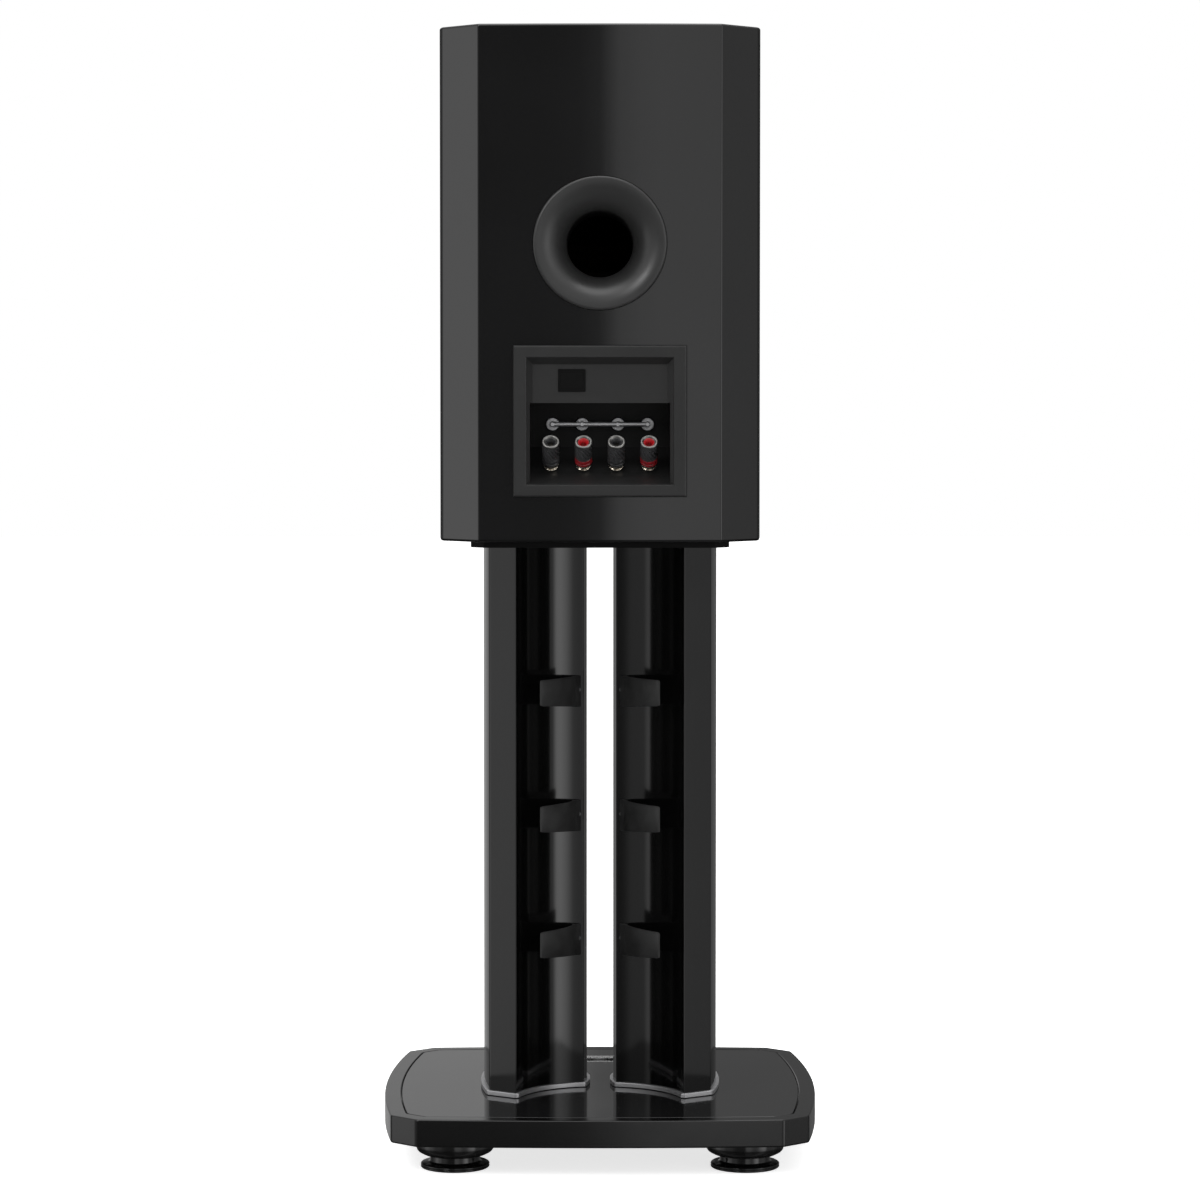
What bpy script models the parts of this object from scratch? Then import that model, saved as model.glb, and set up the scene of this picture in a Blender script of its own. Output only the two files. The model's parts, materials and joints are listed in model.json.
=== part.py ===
"""Two-way bookshelf speaker bolted to its own two-column stand.

Metres, +Z up. The origin is on the floor under the middle of the base.
The baffle faces -Y, and the port, the terminals and the cable clips face +Y.
"""
import math

import bmesh
import bpy
from mathutils import Vector

# Gap left between pieces that touch, and the edge breaks that recur
FIT = 0.0003
SOFT_EDGE = 0.0012
FINE_EDGE = 0.0006
CUT_REACH = 0.05

# Cabinet
CABINET_WIDTH = 0.280
CABINET_HEIGHT = 0.448
CABINET_DEPTH = 0.343
CABINET_WALL = 0.018
REAR_CHAMFER = 0.0315
REAR_EDGE_SHIFT = 0.0032
REAR_BOW = 0.003
SIDE_ROUND = 0.006
EDGE_ROUND = 0.0025
FACING = 0.010
BAFFLE_THICKNESS = 0.025
FRONT_CHAMFER = 0.012
BRACE_THICKNESS = 0.018
BRACE_RAIL = 0.030
BRACE_SETBACK = 0.1715
FELT_THICKNESS = 0.010
FELT_MARGIN = 0.006

# Stand
FOOT_HEIGHT = 0.0277
FOOT_DISC_RADIUS = 0.0304
FOOT_DISC_THICKNESS = 0.0045
FOOT_NECK_RADIUS = 0.022
FOOT_HOUSING_RADIUS = 0.0345
FOOT_HOUSING_THICKNESS = 0.0160
FOOT_HOUSING_CHAMFER = 0.006
FOOT_INSET_X = 0.055
FOOT_INSET_Y = 0.060
BASE_WIDTH = 0.391
BASE_DEPTH = 0.375
BASE_THICKNESS = 0.0243
BASE_SIDE_BOW = 0.0125
BASE_END_BOW = 0.0055
BASE_CORNER_X = 0.023
BASE_CORNER_Y = 0.020
BASE_BORDER = 0.0145
BASE_POCKET = 0.006
STRIP_LENGTH = 0.060
STRIP_WIDTH = 0.010
STRIP_THICKNESS = 0.0016
STRIP_GAP = 0.034
TRIM_THICKNESS = 0.004
TRIM_OVERHANG = 0.003
COLUMN_HEIGHT = 0.4909
COLUMN_WALL = 0.006
COLUMN_INNER_X = 0.012
COLUMN_OUTER_X = 0.106
COLUMN_DEPTH = 0.162
COLUMN_NOSE = 0.0095
COLUMN_NOSE_WIDTH = 0.0028
COLUMN_GROOVE = 0.0235
COLUMN_CORNER_X = 0.075
COLUMN_FACET = (0.0245, 0.016)
ROD_RADIUS = 0.004
ROD_X = 0.060
ROD_SINK = 0.016
PLATE_THICKNESS = 0.0057
PLATE_WIDTH = 0.227
PLATE_INSET = 0.032
PLATE_CHAMFER = 0.012

# Cable clips, on the rear coves
CLIP_COUNT = 3
CLIP_TOP_DROP = 0.1200
CLIP_SPACING = 0.1129
CLIP_HEIGHT = 0.0233
CLIP_ROOT_GROWTH = 0.0050
CLIP_THICKNESS = 0.0026
CLIP_FOOT = 0.008
CLIP_FOOT_THICKNESS = 0.0022
CLIP_ROOT_X = 0.0218
CLIP_ROOT_BEND = (0.0035, 0.018)
CLIP_TIP_BEND = (0.0168, 0.018)
CLIP_MOUTH = 0.0222
CLIP_TIP_RISE = 0.003

# Reflex port
PORT_UP = 0.2590
PORT_RADIUS = 0.058
PORT_THROAT = 0.029
PORT_WALL = 0.003
PORT_PROUD = 0.002
PORT_RIM = 0.0025
PORT_SPIGOT = 0.012
PORT_TAIL_FLARE = 0.014
FLARE_LENGTH = 0.055
PORT_BRACE_GAP = 0.0235
PORT_TAIL_RADIUS = 0.038

# Terminal cup
CUP_UP = 0.1051
CUP_RIM_SIDE = 0.0117
CUP_RIM_END = 0.0109
CUP_FLANGE = 0.004
CUP_BEVEL = 0.0016
CUP_POCKET = 0.003
CUP_WALL = 0.003
CUP_OPENING_WIDTH = 0.127
CUP_OPENING_HEIGHT = 0.1095
CUP_DEPTH = 0.045
CUP_DRAFT = 0.0052
CUP_SIDE_STEP = 0.0027
CUP_PANEL_HEIGHT = 0.0391
CUP_PANEL_DEPTH = 0.006
CUP_TOP_DRAFT = 0.0055
CUP_FLOOR_RISE = 0.0094
CUP_FLOOR_DEPTH = 0.0247
GASKET_THICKNESS = 0.001
BADGE_WIDTH = 0.0238
BADGE_HEIGHT = 0.0196
BADGE_THICKNESS = 0.001
BADGE_X = 0.0244

# Binding posts, square to the sloping shelf of the cup
POST_TILT = math.radians(42.3)
POST_XS = (0.0428, 0.0144, -0.0142, -0.0426)
POST_RISE = 0.0058
STUD_FLANGE_RADIUS = 0.0066
STUD_FLANGE_HEIGHT = 0.0056
STUD_RADIUS = 0.0024
STUD_TOP = 0.0235
STUD_TAIL = 0.012
TAIL_RADIUS = 0.003
CLAMP_RADIUS = 0.0077
CLAMP_HEIGHT = 0.0080
KNOB_RADIUS = 0.0077
KNOB_LENGTH = 0.0186
KNOB_CUP_RADIUS = 0.0046
KNOB_CUP_DEPTH = 0.005
BORE_CLEARANCE = 0.0005

# Jumper bridge above the posts
SOCKET_XS = (0.0416, 0.0157, -0.0157, -0.0416)
SOCKET_DROP = 0.0031
SOCKET_RADIUS = 0.0057
SOCKET_THICKNESS = 0.0022
SOCKET_BARREL = 0.0036
SOCKET_DEPTH = 0.012
PLUG_RADIUS = 0.0021
PLUG_REACH = 0.010
BRIDGE_RADIUS = 0.0020
BRIDGE_STANDOFF = 0.0075

# Woofer, behind the lower half of the baffle
WOOFER_UP = 0.1265
WOOFER_RADIUS = 0.111
WOOFER_HOLE = 0.0945
FACE_PROUD = 0.0005
FRAME_THICKNESS = 0.005
FRAME_WALL = 0.0035
BASKET_DEPTH = 0.079
BASKET_LIP = 0.021
BASKET_BACK_RADIUS = 0.056
BASKET_BORE = 0.026
WINDOW_WIDTH = 0.036
MAGNET_RADIUS = 0.055
MAGNET_DEPTH = 0.038
MAGNET_YOKE = 0.010
POLE_RISE = 0.004
COIL_RADIUS = 0.0192
COIL_WALL = 0.0008
COIL_GAP = 0.0015
CONE_RADIUS = 0.0785
CONE_RIM_DEPTH = 0.006
CONE_NECK_DEPTH = 0.046
CONE_WALL = 0.001
CAP_RADIUS = 0.029
CAP_RISE = 0.011
SURROUND_LIP = 0.0005
SURROUND_RISE = 0.0062
SURROUND_WALL = 0.001
SURROUND_SEAT = -0.0048
SPIDER_DEPTH = 0.062
SPIDER_WAVE = 0.0015
SPIDER_WALL = 0.0008
SPIDER_RIM_GAP = 0.0008

# Horn, behind the upper half of the baffle
HORN_DOWN = 0.1085
HORN_MARGIN = 0.020
HORN_HEIGHT = 0.160
HORN_FLANGE = 0.005
HORN_LIP = 0.009
HORN_RIM = 0.004
HORN_CORNER = 0.012
HORN_BODY_CORNER = 0.020
HORN_MOUTH_CORNER = 0.018
HORN_PAD = 0.008
HORN_THROAT = 0.018
HORN_DEPTH = 0.0947
HORN_WALL = 0.006
DRIVER_RADIUS = 0.042
DRIVER_DEPTH = 0.050
DRIVER_EDGE = 0.005

# Crossover
BOARD_SIZE = (0.160, 0.060, 0.002)
BOARD_GAP = 0.008
BOARD_STANDOFF = 0.004
STANDOFF_WIDTH = 0.010
INDUCTOR_RADIUS = 0.024
INDUCTOR_BORE = 0.011
INDUCTOR_HEIGHT = 0.026
CAPACITOR_RADIUS = 0.012
CAPACITOR_LENGTH = 0.046
PART_OFFSET = 0.042

# Heights of the stack, from the floor up
BASE_BOTTOM = FOOT_HEIGHT
BASE_TOP = BASE_BOTTOM + BASE_THICKNESS
TRIM_BOTTOM = BASE_TOP + FIT
COLUMN_BOTTOM = TRIM_BOTTOM + TRIM_THICKNESS
COLUMN_TOP = COLUMN_BOTTOM + COLUMN_HEIGHT
PLATE_BOTTOM = COLUMN_TOP + FIT
PLATE_TOP = PLATE_BOTTOM + PLATE_THICKNESS
CABINET_BOTTOM = PLATE_TOP + FIT
CABINET_TOP = CABINET_BOTTOM + CABINET_HEIGHT
REAR_Y = CABINET_DEPTH / 2
FRONT_Y = -CABINET_DEPTH / 2
SHELL_FRONT_Y = FRONT_Y + BAFFLE_THICKNESS + FIT

# Places and sizes that follow from the cabinet
BRACE_BACK_Y = FRONT_Y + BRACE_SETBACK
PORT_Z = CABINET_BOTTOM + PORT_UP
PORT_LENGTH = REAR_Y - BRACE_BACK_Y - PORT_BRACE_GAP
CUP_Z = CABINET_BOTTOM + CUP_UP
CUP_WIDTH = CUP_OPENING_WIDTH + 2 * CUP_RIM_SIDE
CUP_HEIGHT = CUP_OPENING_HEIGHT + 2 * CUP_RIM_END
SOCKET_Z = CUP_Z - SOCKET_DROP
WOOFER_Z = CABINET_BOTTOM + WOOFER_UP
HORN_Z = CABINET_TOP - HORN_DOWN
HORN_WIDTH = CABINET_WIDTH - 2 * HORN_MARGIN
BOARD_Y = BRACE_BACK_Y + BOARD_GAP + BOARD_SIZE[1] / 2
STRIP_Y = -COLUMN_DEPTH / 2 - STRIP_GAP - STRIP_WIDTH / 2

OUTWARD_REAR = (-math.pi / 2, 0, 0)
OUTWARD_FRONT = (math.pi / 2, 0, 0)

COLOURS = {
    "cabinet_lacquer": ((0.012, 0.012, 0.013), 0.08, 0.0),
    "base_lacquer": ((0.030, 0.030, 0.031), 0.40, 0.0),
    "gloss_panel": ((0.010, 0.010, 0.011), 0.06, 0.0),
    "column_lacquer": ((0.012, 0.012, 0.013), 0.10, 0.0),
    "plate_paint": ((0.020, 0.020, 0.020), 0.50, 0.0),
    "foot_paint": ((0.014, 0.014, 0.014), 0.15, 0.0),
    "port_plastic": ((0.016, 0.016, 0.016), 0.35, 0.0),
    "cup_plastic": ((0.035, 0.035, 0.036), 0.45, 0.0),
    "bright_metal": ((0.78, 0.78, 0.79), 0.22, 1.0),
    "post_metal": ((0.72, 0.62, 0.45), 0.25, 1.0),
    "red_plastic": ((0.62, 0.02, 0.02), 0.35, 0.0),
    "black_plastic": ((0.020, 0.020, 0.020), 0.35, 0.0),
    "rubber": ((0.015, 0.015, 0.015), 0.80, 0.0),
    "steel": ((0.35, 0.35, 0.36), 0.40, 1.0),
    "raw_board": ((0.42, 0.30, 0.20), 0.75, 0.0),
    "felt": ((0.30, 0.30, 0.30), 0.95, 0.0),
    "cone_paper": ((0.040, 0.040, 0.042), 0.60, 0.0),
    "spider_cloth": ((0.45, 0.33, 0.12), 0.90, 0.0),
    "circuit_board": ((0.03, 0.12, 0.05), 0.50, 0.0),
    "copper": ((0.60, 0.28, 0.12), 0.35, 1.0),
}


def clear_scene():
    for obj in list(bpy.data.objects):
        bpy.data.objects.remove(obj, do_unlink=True)


def material(name):
    found = bpy.data.materials.get(name)
    if found:
        return found
    colour, roughness, metallic = COLOURS[name]
    made = bpy.data.materials.new(name)
    made.use_nodes = True
    shader = made.node_tree.nodes["Principled BSDF"]
    shader.inputs["Base Color"].default_value = (*colour, 1.0)
    shader.inputs["Roughness"].default_value = roughness
    shader.inputs["Metallic"].default_value = metallic
    made.diffuse_color = (*colour, 1.0)
    return made


def place(name, mesh, slot, location=(0, 0, 0), rotation=(0, 0, 0)):
    obj = bpy.data.objects.new(name, mesh)
    bpy.context.scene.collection.objects.link(obj)
    obj.location = location
    obj.rotation_euler = rotation
    if slot and not mesh.materials:
        mesh.materials.append(material(slot))
    return obj


def finish_mesh(name, bm, sharp_degrees=35):
    bmesh.ops.recalc_face_normals(bm, faces=bm.faces[:])
    mesh = bpy.data.meshes.new(name)
    bm.to_mesh(mesh)
    bm.free()
    mesh.shade_smooth()
    mesh.set_sharp_from_angle(angle=math.radians(sharp_degrees))
    return mesh


def ring_mesh(name, rings, loop=False):
    """Skin equal rings of points, capped at both ends or closed into a loop."""
    bm = bmesh.new()
    rows = [[bm.verts.new(point) for point in ring] for ring in rings]
    pairs = list(zip(rows, rows[1:]))
    if loop:
        pairs.append((rows[-1], rows[0]))
    for first, second in pairs:
        count = len(first)
        for i in range(count):
            j = (i + 1) % count
            bm.faces.new((first[i], first[j], second[j], second[i]))
    if not loop:
        bm.faces.new(rows[0])
        bm.faces.new(rows[-1])
    return finish_mesh(name, bm)


def turned_mesh(name, profile, segments):
    """Turn a closed profile of (radius, height) about Z; radius 0 is a pole."""
    bm = bmesh.new()
    rows = []
    for radius, height in profile:
        if radius == 0:
            rows.append([bm.verts.new((0, 0, height))])
            continue
        row = []
        for i in range(segments):
            angle = 2 * math.pi * i / segments
            row.append(bm.verts.new((radius * math.cos(angle), radius * math.sin(angle), height)))
        rows.append(row)
    for first, second in zip(rows, rows[1:] + rows[:1]):
        if len(first) == 1 and len(second) == 1:
            continue
        for i in range(segments):
            j = (i + 1) % segments
            corners = [first[i % len(first)], first[j % len(first)]]
            corners += [second[j % len(second)], second[i % len(second)]]
            bm.faces.new(list(dict.fromkeys(corners)))
    return finish_mesh(name, bm)


def flat_ring(outline, z):
    return [(x, y, z) for x, y in outline]


def prism_mesh(name, outline, bottom, top):
    return ring_mesh(name, [flat_ring(outline, bottom), flat_ring(outline, top)])


def box_outline(width, depth):
    x = width / 2
    y = depth / 2
    return [(-x, -y), (x, -y), (x, y), (-x, y)]


def box_mesh(name, size):
    width, depth, height = size
    return prism_mesh(name, box_outline(width, depth), -height / 2, height / 2)


def chamfered_mesh(name, outline, bottom, top, chamfer):
    """Prism whose top and bottom edges are cut back by the chamfer."""
    inner = offset_outline(outline, -chamfer)
    rings = [flat_ring(inner, bottom), flat_ring(outline, bottom + chamfer)]
    rings += [flat_ring(outline, top - chamfer), flat_ring(inner, top)]
    return ring_mesh(name, rings)


def bowed_edge(start, end, bow, steps):
    """Points from start up to, not including, end, bowed to the right of the way."""
    start = Vector(start)
    end = Vector(end)
    along = end - start
    side = Vector((along.y, -along.x)).normalized()
    points = []
    for i in range(steps):
        t = i / steps
        points.append(tuple(start + along * t + side * bow * 4 * t * (1 - t)))
    return points


def offset_outline(outline, distance):
    """Move each edge of an anticlockwise outline outwards by the distance."""
    count = len(outline)
    moved = []
    for i in range(count):
        before = Vector(outline[i - 1])
        here = Vector(outline[i])
        after = Vector(outline[(i + 1) % count])
        first = (here - before).normalized()
        second = (after - here).normalized()
        normal = Vector((first.y + second.y, -first.x - second.x)).normalized()
        reach = normal.dot(Vector((first.y, -first.x)))
        moved.append(tuple(here + normal * (distance / reach)))
    return moved


def bezier_point(points, t):
    """Point on a Bezier curve with any number of control points."""
    level = [Vector(point) for point in points]
    while len(level) > 1:
        level = [a.lerp(b, t) for a, b in zip(level, level[1:])]
    return level[0]


def rounded_ring(width, height, radius, z, per_corner=6):
    """Ring of points on a rounded rectangle, arcs only, from the +X +Y corner."""
    points = []
    for index, (sx, sy) in enumerate([(1, 1), (-1, 1), (-1, -1), (1, -1)]):
        cx = sx * (width / 2 - radius)
        cy = sy * (height / 2 - radius)
        for i in range(per_corner):
            angle = math.pi / 2 * (index + (i + 0.5) / per_corner)
            points.append((cx + radius * math.cos(angle), cy + radius * math.sin(angle), z))
    return points


def cutter(name, mesh, location=(0, 0, 0), rotation=(0, 0, 0)):
    obj = place(name, mesh, None, location, rotation)
    obj.hide_render = True
    obj.display_type = "WIRE"
    return obj


def subtract(target, tool):
    step = target.modifiers.new(tool.name, "BOOLEAN")
    step.operation = "DIFFERENCE"
    step.solver = "EXACT"
    step.object = tool


def unite(target, tool):
    step = target.modifiers.new(tool.name, "BOOLEAN")
    step.operation = "UNION"
    step.solver = "EXACT"
    step.object = tool


# ---------------------------------------------------------------- stand

def base_outline():
    x = BASE_WIDTH / 2 - BASE_SIDE_BOW
    y = BASE_DEPTH / 2 - BASE_END_BOW
    near_x = x - BASE_CORNER_X
    near_y = y - BASE_CORNER_Y
    points = bowed_edge((x, -near_y), (x, near_y), BASE_SIDE_BOW, 8)
    points.append((x, near_y))
    points += bowed_edge((near_x, y), (-near_x, y), BASE_END_BOW, 8)
    points.append((-near_x, y))
    points += bowed_edge((-x, near_y), (-x, -near_y), BASE_SIDE_BOW, 8)
    points.append((-x, -near_y))
    points += bowed_edge((-near_x, -y), (near_x, -y), BASE_END_BOW, 8)
    points.append((near_x, -y))
    return points


def add_base(rod_bores):
    outline = base_outline()
    edge = SOFT_EDGE
    pocket = offset_outline(outline, -BASE_BORDER)
    floor = BASE_TOP - BASE_POCKET
    rings = [
        flat_ring(offset_outline(outline, -edge), BASE_BOTTOM),
        flat_ring(outline, BASE_BOTTOM + edge),
        flat_ring(outline, BASE_TOP - edge),
        flat_ring(offset_outline(outline, -edge), BASE_TOP),
        flat_ring(pocket, BASE_TOP),
        flat_ring(pocket, floor),
    ]
    base = place("base_plate", ring_mesh("base_plate", rings), "base_lacquer")
    inset_outline = offset_outline(pocket, -2 * FIT)
    inset = chamfered_mesh("base_inset", inset_outline, floor + FIT, BASE_TOP, FINE_EDGE)
    inset = place("base_inset", inset, "gloss_panel")
    strip = box_outline(STRIP_LENGTH, STRIP_WIDTH)
    strip = chamfered_mesh("front_accent_strip", strip, 0, STRIP_THICKNESS, FINE_EDGE / 2)
    place("front_accent_strip", strip, "bright_metal", (0, STRIP_Y, BASE_TOP + FIT))
    for bore in rod_bores:
        subtract(base, bore)
        subtract(inset, bore)


def foot_positions():
    x = BASE_WIDTH / 2 - BASE_SIDE_BOW - FOOT_INSET_X
    y = BASE_DEPTH / 2 - FOOT_INSET_Y
    return {
        "rear_left": (x, y),
        "rear_right": (-x, y),
        "front_left": (x, -y),
        "front_right": (-x, -y),
    }


def foot_disc_mesh():
    bevel = SOFT_EDGE
    r = FOOT_DISC_RADIUS
    top = FOOT_DISC_THICKNESS
    neck_top = FOOT_HEIGHT - FIT - FOOT_HOUSING_THICKNESS - FIT
    profile = [
        (0, 0), (r - bevel, 0), (r, bevel), (r, top - bevel), (r - bevel, top),
        (FOOT_NECK_RADIUS, top), (FOOT_NECK_RADIUS, neck_top), (0, neck_top),
    ]
    return turned_mesh("foot_disc", profile, 20)


def foot_housing_mesh():
    top = FOOT_HEIGHT - FIT
    bottom = top - FOOT_HOUSING_THICKNESS
    r = FOOT_HOUSING_RADIUS
    cut = FOOT_HOUSING_CHAMFER
    profile = [
        (0, bottom), (r - cut * 1.3, bottom), (r - cut * 0.4, bottom + cut * 0.45),
        (r, bottom + cut), (r, top), (0, top),
    ]
    return turned_mesh("foot_housing", profile, 20)


def add_feet():
    disc = foot_disc_mesh()
    housing = foot_housing_mesh()
    for corner, (x, y) in foot_positions().items():
        place("foot_disc_" + corner, disc, "foot_paint", (x, y, 0))
        place("foot_housing_" + corner, housing, "foot_paint", (x, y, 0))


def cove_circle():
    """Radius and centre of the round groove that both columns share."""
    rise = COLUMN_DEPTH / 2 - COLUMN_GROOVE
    radius = (rise ** 2 + COLUMN_CORNER_X ** 2) / (2 * rise)
    return radius, COLUMN_GROOVE + radius


def cove_point(x):
    """Point on the groove and the direction of the groove's wall there."""
    radius, centre = cove_circle()
    drop = math.sqrt(radius ** 2 - x ** 2)
    return Vector((x, centre - drop)), Vector((drop, x)) / radius


def column_outline():
    """Plan of the +X column, anticlockwise from its inner nose."""
    steps = 8
    radius = cove_circle()[0]
    start = math.asin((COLUMN_INNER_X + COLUMN_NOSE_WIDTH) / radius)
    sweep = math.asin(COLUMN_CORNER_X / radius) - start
    half = [(COLUMN_INNER_X, COLUMN_NOSE)]
    for i in range(steps + 1):
        x = radius * math.sin(start + sweep * i / steps)
        half.append(tuple(cove_point(x)[0]))
    corner_x, corner_y = half[-1]
    half.append((corner_x + COLUMN_FACET[0], corner_y - COLUMN_FACET[1]))
    facet_x, facet_y = half[-1]
    bulge = COLUMN_OUTER_X - facet_x
    outer = bowed_edge((facet_x, -facet_y), (facet_x, facet_y), bulge, 8)
    lower = [(x, -y) for x, y in half[:-1]]
    return lower + outer + half[::-1]


def mirror_outline(outline):
    return [(-x, y) for x, y in outline][::-1]


def add_columns(rod_bores):
    outline = column_outline()
    sides = {"left": outline, "right": mirror_outline(outline)}
    for side, plan in sides.items():
        wall = offset_outline(plan, -COLUMN_WALL)
        rings = [
            flat_ring(plan, COLUMN_BOTTOM + FIT), flat_ring(plan, COLUMN_TOP),
            flat_ring(wall, COLUMN_TOP), flat_ring(wall, COLUMN_BOTTOM + FIT),
        ]
        place("column_" + side, ring_mesh("column_" + side, rings, loop=True), "column_lacquer")
        foot = offset_outline(plan, TRIM_OVERHANG)
        trim = chamfered_mesh("column_trim_" + side, foot, TRIM_BOTTOM, COLUMN_BOTTOM, FINE_EDGE)
        trim = place("column_trim_" + side, trim, "bright_metal")
        for bore in rod_bores:
            subtract(trim, bore)


def add_top_plate(rod_bores):
    x = PLATE_WIDTH / 2
    y = REAR_Y - PLATE_INSET
    c = PLATE_CHAMFER
    outline = [
        (x, -y + c), (x, y - c), (x - c, y), (-x + c, y),
        (-x, y - c), (-x, -y + c), (-x + c, -y), (x - c, -y),
    ]
    mesh = chamfered_mesh("stand_top_plate", outline, PLATE_BOTTOM, PLATE_TOP, FINE_EDGE)
    plate = place("stand_top_plate", mesh, "plate_paint")
    for bore in rod_bores:
        subtract(plate, bore)


def add_rods():
    bottom = BASE_TOP - ROD_SINK
    top = PLATE_TOP - FIT
    rod = turned_mesh("rod", plain_cylinder(ROD_RADIUS, bottom, top), 12)
    reach = ROD_RADIUS + 2 * FIT
    bore = turned_mesh("rod_bore", plain_cylinder(reach, bottom - FIT, PLATE_TOP + ROD_RADIUS), 12)
    bores = []
    for side, x in (("left", ROD_X), ("right", -ROD_X)):
        place("column_rod_" + side, rod, "steel", (x, 0, 0))
        bores.append(cutter("bore_for_rod_" + side, bore, (x, 0, 0)))
    return bores


def clip_stations():
    """Middle line of a clip in plan, with each station's width and extra drop."""
    root, along = cove_point(CLIP_ROOT_X)
    out = Vector((-along.y, along.x))
    base = root + out * 2 * FIT
    tip = Vector((COLUMN_CORNER_X - CLIP_MOUTH, COLUMN_DEPTH / 2 + CLIP_TIP_RISE))
    bend = base + Vector(CLIP_ROOT_BEND)
    lead = tip - Vector(CLIP_TIP_BEND)
    foot_top = base + out * CLIP_FOOT_THICKNESS
    stations = [(base, along, CLIP_FOOT, 1.0), (foot_top, along, CLIP_FOOT, 1.0)]
    steps = 8
    for i in range(1, steps + 1):
        t = i / steps
        here = bezier_point([base, bend, lead, tip], t)
        before = bezier_point([base, bend, lead, tip], t - 0.1 / steps)
        heading = (here - before).normalized()
        across = Vector((heading.y, -heading.x))
        stations.append((here, across, CLIP_THICKNESS, 1 - t))
    return stations


def clip_mesh(name, sign):
    rings = []
    for here, across, width, extra in clip_stations():
        first = here - across * width / 2
        second = here + across * width / 2
        drop = CLIP_HEIGHT + CLIP_ROOT_GROWTH * extra
        rings.append([
            (sign * first.x, first.y, 0), (sign * second.x, second.y, 0),
            (sign * second.x, second.y, -drop), (sign * first.x, first.y, -drop),
        ])
    return ring_mesh(name, rings)


def add_clips():
    for side, sign in (("left", 1), ("right", -1)):
        mesh = clip_mesh("cable_clip_" + side, sign)
        for i in range(CLIP_COUNT):
            z = COLUMN_TOP - CLIP_TOP_DROP - i * CLIP_SPACING
            place("cable_clip_%s_%d" % (side, i + 1), mesh, "rubber", (0, 0, z))


# -------------------------------------------------------------- cabinet

def shell_outline():
    """Plan of the cabinet, anticlockwise from the front right corner."""
    x = CABINET_WIDTH / 2
    c = REAR_CHAMFER
    r = SIDE_ROUND
    right = [(x, SHELL_FRONT_Y - FACING), (x, REAR_Y - c - r)]
    right.append((x - r * 0.12, REAR_Y - c - r * 0.35))
    right.append((x - r * 0.5, REAR_Y - c + r * 0.4))
    edge_x = x - c - REAR_EDGE_SHIFT
    edge_y = REAR_Y - REAR_BOW
    rear = bowed_edge((edge_x, edge_y), (-edge_x, edge_y), REAR_BOW, 12)
    left = [(-px, py) for px, py in right][::-1]
    return right + rear + [(-edge_x, edge_y)] + left


def cavity_outline():
    x = CABINET_WIDTH / 2 - CABINET_WALL
    y = REAR_Y - REAR_BOW - CABINET_WALL
    c = REAR_CHAMFER - CABINET_WALL * (math.sqrt(2) - 1) + REAR_EDGE_SHIFT
    front = SHELL_FRONT_Y - 2 * FACING
    return [(x, front), (x, y - c), (x - c, y), (-x + c, y), (-x, y - c), (-x, front)]


def facing_cutter(name, y):
    """Block, twice the facing allowance deep, that squares off a cabinet joint."""
    size = (CABINET_WIDTH * 1.2, 2 * FACING, CABINET_HEIGHT * 1.2)
    return cutter(name, box_mesh(name, size), (0, y, (CABINET_BOTTOM + CABINET_TOP) / 2))


def add_shell():
    outline = shell_outline()
    mesh = chamfered_mesh("cabinet_shell", outline, CABINET_BOTTOM, CABINET_TOP, EDGE_ROUND)
    shell = place("cabinet_shell", mesh, "cabinet_lacquer")
    low = CABINET_BOTTOM + CABINET_WALL
    high = CABINET_TOP - CABINET_WALL
    cavity = cutter("cavity_cut", prism_mesh("cavity_cut", cavity_outline(), low, high))
    face = facing_cutter("shell_face_cut", SHELL_FRONT_Y - FACING)
    reach = PORT_RADIUS + FIT
    port = turned_mesh("port_cut", plain_cylinder(reach, -CUT_REACH, CUT_REACH), 32)
    port = cutter("port_cut", port, (0, REAR_Y, PORT_Z), OUTWARD_REAR)
    pocket_size = (CUP_WIDTH + 2 * FIT, 2 * CUP_POCKET, CUP_HEIGHT + 2 * FIT)
    pocket = cutter("cup_pocket_cut", box_mesh("cup_pocket_cut", pocket_size), (0, REAR_Y, CUP_Z))
    clear = 2 * (CUP_WALL + 2 * FIT)
    hole_size = (CUP_OPENING_WIDTH + clear, 2 * CUT_REACH, CUP_OPENING_HEIGHT + clear)
    hole = cutter("cup_hole_cut", box_mesh("cup_hole_cut", hole_size), (0, REAR_Y, CUP_Z))
    for tool in (cavity, face, port, pocket, hole):
        subtract(shell, tool)


def baffle_outline():
    x = CABINET_WIDTH / 2
    back = FRONT_Y + BAFFLE_THICKNESS + FACING
    c = FRONT_CHAMFER
    return [
        (x, back), (-x, back), (-x, FRONT_Y + c), (-x + c * 0.3, FRONT_Y + c * 0.3),
        (-x + c, FRONT_Y), (x - c, FRONT_Y), (x - c * 0.3, FRONT_Y + c * 0.3), (x, FRONT_Y + c),
    ]


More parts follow.
